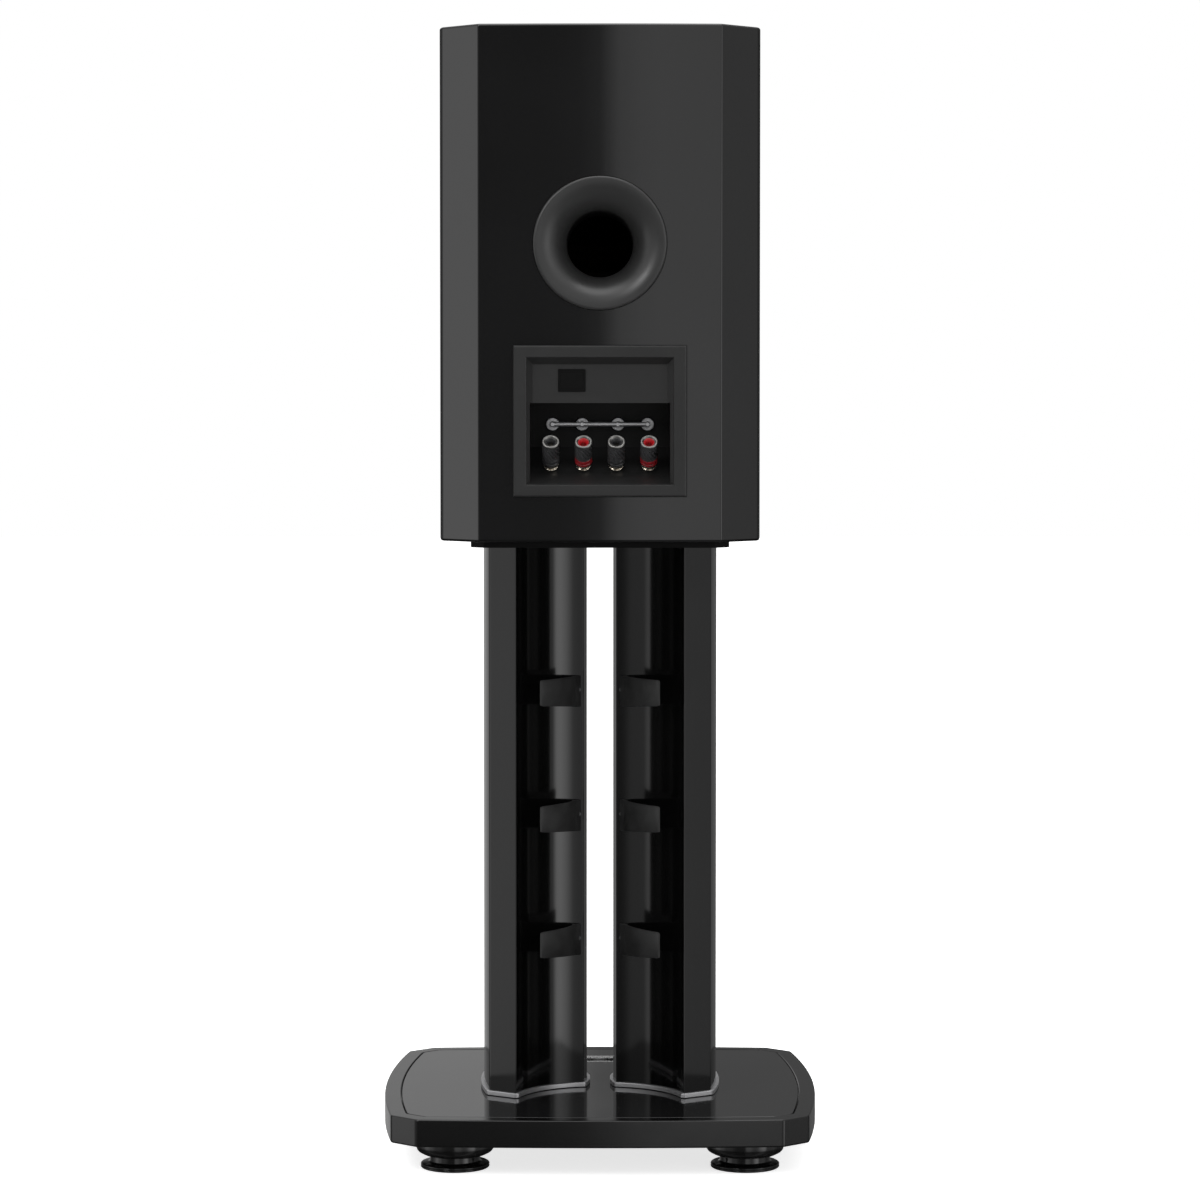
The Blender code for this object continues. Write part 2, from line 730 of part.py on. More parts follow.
def add_baffle():
    mesh = chamfered_mesh("front_baffle", baffle_outline(), CABINET_BOTTOM, CABINET_TOP, EDGE_ROUND)
    baffle = place("front_baffle", mesh, "cabinet_lacquer")
    far = -CUT_REACH
    near = CUT_REACH
    seat_r = WOOFER_RADIUS + FIT
    seat_z = -FRAME_THICKNESS
    stepped = [
        (0, far), (WOOFER_HOLE, far), (WOOFER_HOLE, seat_z), (seat_r, seat_z),
        (seat_r, near), (0, near),
    ]
    stepped = turned_mesh("woofer_cut", stepped, 24)
    width = HORN_WIDTH - 2 * HORN_LIP + 2 * FIT
    height = HORN_HEIGHT - 2 * HORN_LIP + 2 * FIT
    outer = (HORN_WIDTH + 2 * FIT, HORN_HEIGHT + 2 * FIT, HORN_CORNER)
    rings = [rounded_ring(width, height, HORN_BODY_CORNER, z) for z in (far, -HORN_FLANGE)]
    rings += [rounded_ring(*outer, z) for z in (-HORN_FLANGE, near)]
    horn = ring_mesh("horn_cut", rings)
    tools = [
        facing_cutter("baffle_face_cut", FRONT_Y + BAFFLE_THICKNESS + FACING),
        cutter("woofer_cut", stepped, (0, FRONT_Y, WOOFER_Z), OUTWARD_FRONT),
        cutter("horn_cut", horn, (0, FRONT_Y, HORN_Z), OUTWARD_FRONT),
    ]
    for tool in tools:
        subtract(baffle, tool)


def add_brace():
    width = CABINET_WIDTH - 2 * CABINET_WALL - 2 * FIT
    height = CABINET_HEIGHT - 2 * CABINET_WALL - 2 * FIT
    middle = (CABINET_BOTTOM + CABINET_TOP) / 2
    where = (0, BRACE_BACK_Y - BRACE_THICKNESS / 2, middle)
    mesh = box_mesh("window_brace", (width, BRACE_THICKNESS, height))
    brace = place("window_brace", mesh, "raw_board", where)
    window_height = (height - 3 * BRACE_RAIL) / 2
    size = (width - 2 * BRACE_RAIL, 2 * BRACE_THICKNESS, window_height)
    window = box_mesh("brace_window", size)
    for index, sign in enumerate((-1, 1)):
        z = middle + sign * (window_height + BRACE_RAIL) / 2
        subtract(brace, cutter("brace_window_%d" % index, window, (0, where[1], z)))


def add_felt():
    """Felt sheet under the cabinet's top, behind the brace."""
    back = REAR_Y - REAR_CHAMFER - CABINET_WALL
    front = BRACE_BACK_Y + FELT_MARGIN
    width = CABINET_WIDTH - 2 * CABINET_WALL - 2 * FELT_MARGIN
    mesh = box_mesh("damping_felt", (width, back - front, FELT_THICKNESS))
    z = CABINET_TOP - CABINET_WALL - FIT - FELT_THICKNESS / 2
    place("damping_felt", mesh, "felt", (0, (front + back) / 2, z))


# ----------------------------------------------------------------- port

def flare_profile():
    """Trumpet from the rim to the throat; height 0 is the rear panel."""
    rim = PORT_PROUD
    lip = PORT_RADIUS - PORT_RIM
    points = [(PORT_RADIUS, -PORT_SPIGOT), (PORT_RADIUS, rim - SOFT_EDGE), (PORT_RADIUS - SOFT_EDGE, rim)]
    steps = 7
    for i in range(steps + 1):
        angle = math.pi / 2 * i / steps
        radius = lip - (lip - PORT_THROAT) * math.sin(angle)
        height = rim - (rim + FLARE_LENGTH) * (1 - math.cos(angle))
        points.append((radius, height))
    outside = PORT_THROAT + PORT_WALL
    points.append((outside, -FLARE_LENGTH))
    points.append((outside + PORT_WALL, -3 * PORT_SPIGOT))
    points.append((outside + 4 * PORT_WALL, -1.5 * PORT_SPIGOT))
    return points


def add_port():
    where = (0, REAR_Y, PORT_Z)
    mesh = turned_mesh("port_flare", flare_profile(), 32)
    place("port_flare", mesh, "port_plastic", where, OUTWARD_REAR)
    start = -FLARE_LENGTH - FIT
    end = -PORT_LENGTH
    bend = end + PORT_TAIL_FLARE
    wall = PORT_WALL
    profile = [
        (PORT_THROAT, start), (PORT_THROAT, bend), (PORT_TAIL_RADIUS - wall, end),
        (PORT_TAIL_RADIUS, end), (PORT_THROAT + wall, bend), (PORT_THROAT + wall, start),
    ]
    place("port_tube", turned_mesh("port_tube", profile, 20), "port_plastic", where, OUTWARD_REAR)


# ------------------------------------------------------------- terminals

def flange_back():
    """Depth of the flange's back face, as a distance behind the rear panel."""
    return CUP_POCKET - GASKET_THICKNESS - 2 * FIT


def shelf_foot():
    """Lower outer corner of the sloping shelf: depth and height."""
    bottom = CUP_Z - CUP_OPENING_HEIGHT / 2
    return CUP_FLOOR_DEPTH, bottom + CUP_FLOOR_RISE


def shelf_point(rise):
    """Point on the sloping shelf at a height above its lower corner."""
    depth, height = shelf_foot()
    return depth + rise * math.tan(POST_TILT), height + rise


def ledge_height():
    """Height of the label panel's lower edge, over the terminals."""
    return CUP_Z + CUP_OPENING_HEIGHT / 2 - CUP_PANEL_HEIGHT


def recess_outline():
    """Side section of the terminals' recess: (depth behind the panel, height)."""
    bottom = CUP_Z - CUP_OPENING_HEIGHT / 2
    depth, height = shelf_foot()
    climb = (CUP_DEPTH - depth) / math.tan(POST_TILT)
    ledge = ledge_height()
    return [
        (-CUP_FLANGE, bottom), (0, bottom), (depth, height), (CUP_DEPTH, height + climb),
        (CUP_DEPTH, ledge), (-CUP_FLANGE, ledge),
    ]


def section_mesh(name, section, half_width):
    rings = []
    for x in (-half_width, half_width):
        rings.append([(x, REAR_Y - depth, height) for depth, height in section])
    return ring_mesh(name, rings)


def cup_body_section():
    """Outside of the cup behind its flange: the recess with its wall added."""
    bottom = CUP_Z - CUP_OPENING_HEIGHT / 2 - CUP_WALL
    top = CUP_Z + CUP_OPENING_HEIGHT / 2 + CUP_WALL
    depth, height = shelf_foot()
    climb = (CUP_DEPTH - depth - CUP_WALL / 2) / math.tan(POST_TILT)
    roof = ledge_height() + CUP_WALL
    back = CUP_DEPTH + CUP_WALL
    front = flange_back() - CUP_FLANGE / 2
    return [
        (front, bottom), (depth + CUP_WALL, height - CUP_WALL), (back, height + climb),
        (back, roof), (CUP_PANEL_DEPTH + CUP_WALL, roof),
        (CUP_PANEL_DEPTH + CUP_WALL, top), (front, top),
    ]


def cup_mouth_mesh():
    """Drafted mouth: full width at the flange, narrowing to the label panel."""
    half = CUP_OPENING_WIDTH / 2
    bottom = CUP_Z - CUP_OPENING_HEIGHT / 2
    top = CUP_Z + CUP_OPENING_HEIGHT / 2
    rise = CUP_FLOOR_RISE * CUP_PANEL_DEPTH / CUP_FLOOR_DEPTH
    rings = []
    for depth, x, low, high in (
        (-CUP_FLANGE, half, bottom, top),
        (0, half, bottom, top),
        (CUP_PANEL_DEPTH, half - CUP_DRAFT, bottom + rise, top - CUP_TOP_DRAFT),
    ):
        y = REAR_Y - depth
        rings.append([(-x, y, low), (x, y, low), (x, y, high), (-x, y, high)])
    return ring_mesh("cup_mouth", rings)


def add_cup():
    back = REAR_Y - flange_back()
    width = CUP_WIDTH
    height = CUP_HEIGHT
    bevel = CUP_BEVEL
    rings = []
    for inset, out in ((0, 0), (0, CUP_FLANGE - bevel), (bevel, CUP_FLANGE)):
        x = width / 2 - inset
        z = height / 2 - inset
        ring = [(-x, back + out, CUP_Z - z), (x, back + out, CUP_Z - z)]
        ring += [(x, back + out, CUP_Z + z), (-x, back + out, CUP_Z + z)]
        rings.append(ring)
    cup = place("terminal_cup", ring_mesh("terminal_cup", rings), "cup_plastic")
    half = CUP_OPENING_WIDTH / 2
    body = section_mesh("cup_body", cup_body_section(), half + CUP_WALL)
    unite(cup, cutter("cup_body", body))
    recess = section_mesh("cup_recess", recess_outline(), half - CUP_SIDE_STEP)
    subtract(cup, cutter("cup_recess", recess))
    subtract(cup, cutter("cup_mouth", cup_mouth_mesh()))
    reach = 3 * CUP_WALL
    hole = turned_mesh("tail_hole", plain_cylinder(TAIL_RADIUS + FIT, -reach, reach), 12)
    for index, x in enumerate(POST_XS):
        subtract(cup, cutter("tail_hole_%d" % index, hole, post_location(x), post_rotation()))
    hole = turned_mesh("socket_hole", plain_cylinder(SOCKET_BARREL + FIT, -reach, reach), 12)
    for index, x in enumerate(SOCKET_XS):
        subtract(cup, cutter("socket_hole_%d" % index, hole, socket_location(x), OUTWARD_REAR))


def plain_cylinder(radius, low, high):
    return [(0, low), (radius, low), (radius, high), (0, high)]


def add_gasket():
    y = REAR_Y - CUP_POCKET + FIT
    clear = CUP_WALL + 2 * FIT
    rings = []
    for grow, out in ((0, 0), (0, GASKET_THICKNESS), (1, GASKET_THICKNESS), (1, 0)):
        half_x = CUP_OPENING_WIDTH / 2 + clear if grow else CUP_WIDTH / 2
        half_z = CUP_OPENING_HEIGHT / 2 + clear if grow else CUP_HEIGHT / 2
        ring = [(-half_x, y + out, CUP_Z - half_z), (half_x, y + out, CUP_Z - half_z)]
        ring += [(half_x, y + out, CUP_Z + half_z), (-half_x, y + out, CUP_Z + half_z)]
        rings.append(ring)
    place("terminal_gasket", ring_mesh("terminal_gasket", rings, loop=True), "rubber")


def add_badge():
    top = CUP_Z + CUP_OPENING_HEIGHT / 2
    z = top - CUP_PANEL_HEIGHT / 2
    y = REAR_Y - CUP_PANEL_DEPTH + FIT
    outline = box_outline(BADGE_WIDTH, BADGE_HEIGHT)
    mesh = chamfered_mesh("badge_plate", outline, 0, BADGE_THICKNESS, FINE_EDGE / 3)
    place("badge_plate", mesh, "gloss_panel", (BADGE_X, y, z), OUTWARD_REAR)


def post_location(x):
    depth, height = shelf_point(POST_RISE)
    return (x, REAR_Y - depth, height)


def post_rotation():
    return (POST_TILT - math.pi / 2, 0, 0)


def stud_mesh():
    flange = STUD_FLANGE_RADIUS
    top = STUD_FLANGE_HEIGHT
    profile = [
        (0, -STUD_TAIL), (TAIL_RADIUS, -STUD_TAIL), (TAIL_RADIUS, FIT), (flange, FIT),
        (flange, top), (STUD_RADIUS, top), (STUD_RADIUS, STUD_TOP), (0, STUD_TOP),
    ]
    return turned_mesh("post_stud", profile, 12)


def clamp_mesh():
    low = STUD_FLANGE_HEIGHT + FIT
    high = low + CLAMP_HEIGHT
    bore = STUD_RADIUS + BORE_CLEARANCE
    edge = FINE_EDGE
    outer = CLAMP_RADIUS
    profile = [
        (bore, low), (outer - edge, low), (outer, low + edge), (outer, high - edge),
        (outer - edge, high), (bore, high),
    ]
    return turned_mesh("clamp_ring", profile, 12)


def knob_mesh():
    low = STUD_FLANGE_HEIGHT + CLAMP_HEIGHT + 2 * FIT
    high = low + KNOB_LENGTH
    bore = STUD_RADIUS + BORE_CLEARANCE
    bevel = 1.5 * FINE_EDGE
    profile = [
        (bore, low), (KNOB_RADIUS - bevel, low), (KNOB_RADIUS, low + bevel),
        (KNOB_RADIUS, high - bevel), (KNOB_RADIUS - bevel, high), (KNOB_CUP_RADIUS, high),
        (KNOB_CUP_RADIUS, high - KNOB_CUP_DEPTH), (bore, high - KNOB_CUP_DEPTH),
    ]
    return turned_mesh("post_knob", profile, 12)


def add_posts():
    stud = stud_mesh()
    clamp = {"black_plastic": clamp_mesh(), "red_plastic": clamp_mesh()}
    knob = knob_mesh()
    turn = post_rotation()
    for index, x in enumerate(POST_XS):
        colour = "red_plastic" if index % 2 else "black_plastic"
        where = post_location(x)
        number = index + 1
        place("post_stud_%d" % number, stud, "post_metal", where, turn)
        place("clamp_ring_%d" % number, clamp[colour], colour, where, turn)
        place("post_knob_%d" % number, knob, "black_plastic", where, turn)


def socket_location(x):
    return (x, REAR_Y - CUP_DEPTH, SOCKET_Z)


def add_jumpers():
    bore = PLUG_RADIUS + FIT
    profile = [
        (bore, -SOCKET_DEPTH), (SOCKET_BARREL, -SOCKET_DEPTH), (SOCKET_BARREL, FIT),
        (SOCKET_RADIUS, FIT), (SOCKET_RADIUS, SOCKET_THICKNESS), (bore, SOCKET_THICKNESS),
    ]
    socket = turned_mesh("jumper_socket", profile, 12)
    for index, x in enumerate(SOCKET_XS):
        place("jumper_socket_%d" % (index + 1), socket, "bright_metal", socket_location(x), OUTWARD_REAR)
    half = SOCKET_XS[0] + PLUG_RADIUS * 0.4
    rod = turned_mesh("jumper_bridge", plain_cylinder(BRIDGE_RADIUS, -half, half), 12)
    rotated_rod = place("jumper_bridge", rod, "bright_metal", socket_location(0), (0, math.pi / 2, 0))
    rotated_rod.location.y += BRIDGE_STANDOFF
    reach = BRIDGE_STANDOFF + BRIDGE_RADIUS * 1.15
    plug = turned_mesh("plug", plain_cylinder(PLUG_RADIUS, -PLUG_REACH, reach), 12)
    for index, x in enumerate(SOCKET_XS):
        unite(rotated_rod, cutter("plug_%d" % index, plug, socket_location(x), OUTWARD_REAR))


# --------------------------------------------------------------- woofer

def woofer_part(name, profile, segments, slot):
    mesh = turned_mesh(name, profile, segments)
    return place(name, mesh, slot, (0, FRONT_Y, WOOFER_Z), OUTWARD_FRONT)


def basket_shoulder():
    """Outer radius of the basket where it passes through the baffle."""
    return WOOFER_HOLE - BORE_CLEARANCE


def basket_inside(depth):
    """Inner radius of the basket's cone at a depth behind the baffle's face."""
    top = basket_shoulder() - FRAME_WALL
    bottom = BASKET_BACK_RADIUS - FRAME_WALL
    share = (depth - BASKET_LIP) / (BASKET_DEPTH - FRAME_WALL - BASKET_LIP)
    return top + (bottom - top) * share


def basket_profile():
    wall = FRAME_WALL
    outer = basket_shoulder()
    back = -BASKET_DEPTH
    face = FACE_PROUD
    edge = SOFT_EDGE
    seat = FIT - FRAME_THICKNESS
    return [
        (WOOFER_RADIUS, seat), (WOOFER_RADIUS, face - edge), (WOOFER_RADIUS - edge, face),
        (outer - wall + FINE_EDGE, face), (outer - wall, -BASKET_LIP),
        (BASKET_BACK_RADIUS - wall, back + wall), (BASKET_BORE, back + wall),
        (BASKET_BORE, back), (BASKET_BACK_RADIUS, back), (outer, -BASKET_LIP), (outer, seat),
    ]


def add_basket():
    basket = woofer_part("woofer_frame", basket_profile(), 24, "plate_paint")
    length = 2 * WOOFER_RADIUS * 1.2
    size = (length, WINDOW_WIDTH, BASKET_DEPTH * 0.5)
    window = box_mesh("frame_window", size)
    middle = FRONT_Y + BASKET_DEPTH * 0.58
    for index in range(3):
        turn = math.pi * index / 3 + math.pi / 2
        tool = cutter("frame_window_%d" % index, window, (0, middle, WOOFER_Z))
        tool.rotation_euler = (math.pi / 2, turn, 0)
        subtract(basket, tool)


def add_magnet():
    front = -BASKET_DEPTH - FIT
    back = front - MAGNET_DEPTH
    outer_gap = COIL_RADIUS + COIL_WALL / 2 + COIL_GAP
    inner_gap = COIL_RADIUS - COIL_WALL / 2 - COIL_GAP
    slot_bottom = back + MAGNET_YOKE
    edge = SOFT_EDGE
    profile = [
        (0, back), (MAGNET_RADIUS - edge, back), (MAGNET_RADIUS, back + edge),
        (MAGNET_RADIUS, front), (outer_gap, front), (outer_gap, slot_bottom),
        (inner_gap, slot_bottom), (inner_gap, front + POLE_RISE), (0, front + POLE_RISE),
    ]
    woofer_part("woofer_magnet", profile, 24, "steel")


def add_cone():
    inner = COIL_RADIUS - COIL_WALL / 2
    outer = COIL_RADIUS + COIL_WALL / 2
    neck = -CONE_NECK_DEPTH
    rim = -CONE_RIM_DEPTH
    slope = (rim - neck) / (CONE_RADIUS - outer)
    cap_z = neck + (CAP_RADIUS - outer) * slope
    coil_end = -BASKET_DEPTH - MAGNET_DEPTH / 2
    shoulder = CAP_RADIUS / 2
    top = cap_z + CAP_RISE
    side = cap_z + CAP_RISE * 0.76
    profile = [
        (0, top), (shoulder, side), (CAP_RADIUS, cap_z),
        (CONE_RADIUS - CONE_WALL, rim), (CONE_RADIUS, rim - CONE_WALL),
        (outer, neck - CONE_WALL), (outer, coil_end), (inner, coil_end), (inner, neck),
        (shoulder, side - 2 * CONE_WALL), (0, top - 1.5 * CONE_WALL),
    ]
    woofer_part("woofer_cone", profile, 24, "cone_paper")


def add_surround():
    inner = CONE_RADIUS + SURROUND_LIP
    outer = basket_shoulder() - FRAME_WALL - FIT
    middle = (inner + outer) / 2
    reach = (outer - inner) / 2
    steps = 5
    top = []
    under = []
    for i in range(steps + 1):
        angle = math.pi * i / steps
        top.append((middle - reach * math.cos(angle), SURROUND_SEAT + SURROUND_RISE * math.sin(angle)))
        inside = reach - SURROUND_WALL
        lift = (SURROUND_RISE - SURROUND_WALL) * math.sin(angle)
        under.append((middle - inside * math.cos(angle), SURROUND_SEAT - SURROUND_WALL + lift))
    woofer_part("woofer_surround", top + under[::-1], 24, "rubber")


def add_spider():
    inner = COIL_RADIUS + COIL_WALL / 2 + SURROUND_LIP
    outer = basket_inside(SPIDER_DEPTH + SPIDER_WAVE) - SPIDER_RIM_GAP
    waves = 3
    steps = waves * 2
    top = []
    for i in range(steps + 1):
        lift = SPIDER_WAVE if i % 2 else -SPIDER_WAVE
        if i in (0, steps):
            lift = 0
        top.append((inner + (outer - inner) * i / steps, -SPIDER_DEPTH + lift))
    under = [(radius, height - SPIDER_WALL) for radius, height in top][::-1]
    woofer_part("woofer_spider", top + under, 20, "spider_cloth")


# ----------------------------------------------------------------- horn

def horn_rings():
    width = HORN_WIDTH
    height = HORN_HEIGHT
    lip = HORN_LIP
    rim = HORN_RIM
    face = FACE_PROUD
    back = FIT - HORN_FLANGE
    pad = HORN_THROAT + HORN_WALL + HORN_PAD
    pad_z = -HORN_DEPTH + HORN_PAD
    body_w = width - 2 * lip
    body_h = height - 2 * lip
    mouth_w = body_w - 2 * rim
    mouth_h = body_h - 2 * rim
    rings = [
        rounded_ring(width, height, HORN_CORNER, back),
        rounded_ring(width, height, HORN_CORNER, face),
        rounded_ring(mouth_w, mouth_h, HORN_MOUTH_CORNER, face),
    ]
    inner = []
    outer = []
    for t in (0.25, 0.5, 0.75):
        flare = (1 - t) ** 1.6
        throat = 2 * HORN_THROAT
        w = throat + (mouth_w - throat) * flare
        h = throat + (mouth_h - throat) * flare
        r = HORN_MOUTH_CORNER + (min(w, h) / 2 - HORN_MOUTH_CORNER) * t
        z = -HORN_DEPTH * t
        inner.append(rounded_ring(w, h, r, z))
        grow = 2 * HORN_WALL
        outer.append(rounded_ring(w + grow, h + grow, r + HORN_WALL, z - HORN_WALL * 0.3))
    rings += inner
    rings.append(rounded_ring(2 * HORN_THROAT, 2 * HORN_THROAT, HORN_THROAT, -HORN_DEPTH))
    rings.append(rounded_ring(2 * pad, 2 * pad, pad, -HORN_DEPTH))
    rings.append(rounded_ring(2 * pad, 2 * pad, pad, pad_z))
    rings += outer[::-1]
    rings.append(rounded_ring(body_w - 4 * FIT, body_h - 4 * FIT, HORN_BODY_CORNER, back))
    return rings


def add_horn():
    where = (0, FRONT_Y, HORN_Z)
    horn = ring_mesh("horn_waveguide", horn_rings(), loop=True)
    place("horn_waveguide", horn, "port_plastic", where, OUTWARD_FRONT)
    front = -HORN_DEPTH - FIT
    back = front - DRIVER_DEPTH
    edge = DRIVER_EDGE
    step = front - 2 * edge
    nose = HORN_THROAT + 2 * HORN_WALL
    profile = [
        (0, back), (DRIVER_RADIUS - edge, back), (DRIVER_RADIUS, back + edge),
        (DRIVER_RADIUS, step), (nose, step), (nose, front),
        (HORN_THROAT, front), (HORN_THROAT, front - DRIVER_DEPTH / 2), (0, front - DRIVER_DEPTH / 2),
    ]
    driver = turned_mesh("compression_driver", profile, 24)
    place("compression_driver", driver, "steel", where, OUTWARD_FRONT)


# ------------------------------------------------------------ crossover

def add_crossover():
    floor = CABINET_BOTTOM + CABINET_WALL
    width, depth, thickness = BOARD_SIZE
    board_z = floor + BOARD_STANDOFF + thickness / 2
    mesh = box_mesh("crossover_board", BOARD_SIZE)
    board = place("crossover_board", mesh, "circuit_board", (0, BOARD_Y, board_z))
    height = BOARD_STANDOFF + thickness / 2 - FIT
    post = box_mesh("standoff", (STANDOFF_WIDTH, STANDOFF_WIDTH, height))
    z = floor + FIT + height / 2
    for index, (sx, sy) in enumerate([(-1, -1), (1, -1), (1, 1), (-1, 1)]):
        x = sx * (width / 2 - STANDOFF_WIDTH)
        y = BOARD_Y + sy * (depth / 2 - STANDOFF_WIDTH)
        unite(board, cutter("standoff_%d" % index, post, (x, y, z)))
    top = board_z + thickness / 2 + FIT
    bore = INDUCTOR_BORE
    coil = [
        (bore, 0), (INDUCTOR_RADIUS, 0), (INDUCTOR_RADIUS, INDUCTOR_HEIGHT), (bore, INDUCTOR_HEIGHT),
    ]
    coil = turned_mesh("crossover_inductor", coil, 16)
    place("crossover_inductor", coil, "copper", (PART_OFFSET, BOARD_Y, top))
    half = CAPACITOR_LENGTH / 2
    can = turned_mesh("crossover_capacitor", plain_cylinder(CAPACITOR_RADIUS, -half, half), 12)
    lying = (0, math.pi / 2, 0)
    where = (-PART_OFFSET, BOARD_Y, top + CAPACITOR_RADIUS)
    place("crossover_capacitor", can, "steel", where, lying)


def main():
    clear_scene()
    rod_bores = add_rods()
    add_base(rod_bores)
    add_feet()
    add_columns(rod_bores)
    add_top_plate(rod_bores)
    add_clips()
    add_shell()
    add_baffle()
    add_brace()
    add_felt()
    add_port()
    add_cup()
    add_gasket()
    add_badge()
    add_posts()
    add_jumpers()
    add_basket()
    add_magnet()
    add_cone()
    add_surround()
    add_spider()
    add_horn()
    add_crossover()


main()
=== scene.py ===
"""Looks for the stand-mounted speaker: finer shells, turned parts, finishes and studio."""

import json
import math

import bmesh
import bpy
from mathutils import Matrix, Vector


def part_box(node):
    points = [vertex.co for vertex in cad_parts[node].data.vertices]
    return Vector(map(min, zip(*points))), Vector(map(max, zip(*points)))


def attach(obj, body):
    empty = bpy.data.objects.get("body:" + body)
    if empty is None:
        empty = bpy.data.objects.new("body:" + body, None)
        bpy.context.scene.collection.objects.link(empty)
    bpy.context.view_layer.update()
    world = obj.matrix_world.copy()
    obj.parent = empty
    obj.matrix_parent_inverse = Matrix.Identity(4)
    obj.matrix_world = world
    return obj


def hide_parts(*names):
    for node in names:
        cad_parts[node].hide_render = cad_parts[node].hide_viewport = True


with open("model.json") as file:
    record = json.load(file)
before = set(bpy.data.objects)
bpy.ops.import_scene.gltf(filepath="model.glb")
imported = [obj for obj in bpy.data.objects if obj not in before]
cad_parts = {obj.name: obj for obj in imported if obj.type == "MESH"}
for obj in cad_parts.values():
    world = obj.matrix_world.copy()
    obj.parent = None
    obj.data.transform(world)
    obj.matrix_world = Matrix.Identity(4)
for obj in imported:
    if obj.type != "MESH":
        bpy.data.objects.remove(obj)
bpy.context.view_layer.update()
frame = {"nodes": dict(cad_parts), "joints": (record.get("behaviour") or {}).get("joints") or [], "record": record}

GAP = 0.0003
REAR_OUT = Vector((0, 1, 0))
FRONT_OUT = Vector((0, -1, 0))


# ------------------------------------------------------------ mesh tools

def aim(origin, direction):
    """Matrix that puts local Z along the direction and the origin at a point."""
    turn = Vector(direction).to_track_quat("Z", "Y")
    return Matrix.Translation(Vector(origin)) @ turn.to_matrix().to_4x4()


def make(name, bm, look, slot=None, body="root", stands_for=(), at=None, sharp=32):
    """Turn a bmesh into a piece with its look and body (the slot argument is not used); NODE_fine stands for that
    CAD node.
    """
    slot = slot or look
    if "_fine" in name:
        stands_for = [name.replace("_fine", "")]
    bmesh.ops.recalc_face_normals(bm, faces=bm.faces[:])
    mesh = bpy.data.meshes.new(name)
    bm.to_mesh(mesh)
    bm.free()
    if at is not None:
        mesh.transform(at)
    mesh.shade_smooth()
    mesh.set_sharp_from_angle(angle=math.radians(sharp))
    mesh.materials.append(FINISH[look])
    obj = bpy.data.objects.new(name, mesh)
    bpy.context.scene.collection.objects.link(obj)
    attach(obj, body)
    if stands_for:
        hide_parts(*stands_for)
    return obj


def skin(bm, rings, loop=False):
    """Bridge equal rings of points, capped at both ends or closed into a loop."""
    rows = [[bm.verts.new(point) for point in ring] for ring in rings]
    pairs = list(zip(rows, rows[1:]))
    if loop:
        pairs.append((rows[-1], rows[0]))
    for first, second in pairs:
        count = len(first)
        for i in range(count):
            j = (i + 1) % count
            bm.faces.new((first[i], first[j], second[j], second[i]))
    if not loop:
        bm.faces.new(rows[0])
        bm.faces.new(rows[-1])


def skinned(rings, loop=False):
    bm = bmesh.new()
    skin(bm, rings, loop)
    return bm


def turn(bm, profile, segments):
    """Turn a closed profile of (radius, height) about Z; radius 0 is a pole."""
    rows = []
    for radius, height in profile:
        if radius == 0:
            rows.append([bm.verts.new((0, 0, height))])
            continue
        row = []
        for i in range(segments):
            angle = 2 * math.pi * i / segments
            row.append(bm.verts.new((radius * math.cos(angle), radius * math.sin(angle), height)))
        rows.append(row)
    for first, second in zip(rows, rows[1:] + rows[:1]):
        if len(first) == 1 and len(second) == 1:
            continue
        for i in range(segments):
            j = (i + 1) % segments
            corners = [first[i % len(first)], first[j % len(first)]]
            corners += [second[j % len(second)], second[i % len(second)]]
            bm.faces.new(list(dict.fromkeys(corners)))


def turned(profile, segments=96):
    bm = bmesh.new()
    turn(bm, profile, segments)
    return bm


def softened(profile, radius, steps=3):
    """Round every corner of a profile off the axis by a small radius."""
    count = len(profile)
    points = []
    for i in range(count):
        before = Vector(profile[i - 1])
        here = Vector(profile[i])
        after = Vector(profile[(i + 1) % count])
        if here.x == 0:
            points.append(tuple(here))
            continue
        back = before - here
        ahead = after - here
        reach = min(radius, back.length * 0.45, ahead.length * 0.45)
        start = here + back.normalized() * reach
        end = here + ahead.normalized() * reach
        for k in range(steps + 1):
            t = k / steps
            a = start.lerp(here, t)
            b = here.lerp(end, t)
            points.append(tuple(a.lerp(b, t)))
    return points


def bowed(start, end, bow, steps):
    """Points from start up to, not including, end, bowed to the right of the way."""
    start = Vector(start)
    end = Vector(end)
    along = end - start
    side = Vector((along.y, -along.x)).normalized()
    points = []
    for i in range(steps):
        t = i / steps
        points.append(tuple(start + along * t + side * bow * 4 * t * (1 - t)))
    return points


def offset(outline, distance):
    """Move each edge of an anticlockwise outline outwards by the distance."""
    count = len(outline)
    moved = []
    for i in range(count):
        here = Vector(outline[i])
        first = (here - Vector(outline[i - 1])).normalized()
        second = (Vector(outline[(i + 1) % count]) - here).normalized()
        normal = Vector((first.y + second.y, -first.x - second.x)).normalized()
        reach = normal.dot(Vector((first.y, -first.x)))
        moved.append(tuple(here + normal * (distance / reach)))
    return moved


def curve_point(points, t):
    """Point on a Bezier curve with any number of control points."""
    level = [Vector(point) for point in points]
    while len(level) > 1:
        level = [a.lerp(b, t) for a, b in zip(level, level[1:])]
    return level[0]


def at_height(outline, z):
    return [(x, y, z) for x, y in outline]


def rounded_edge(outline, z, radius, steps, side):
    """Rings that round a prism's lower edge (side 1) or upper edge (side -1)."""
    rings = []
    for k in range(steps + 1):
        angle = math.pi / 2 * (k if side > 0 else steps - k) / steps
        moved = offset(outline, -radius * (1 - math.sin(angle)))
        rings.append(at_height(moved, z + side * radius * (1 - math.cos(angle))))
    return rings


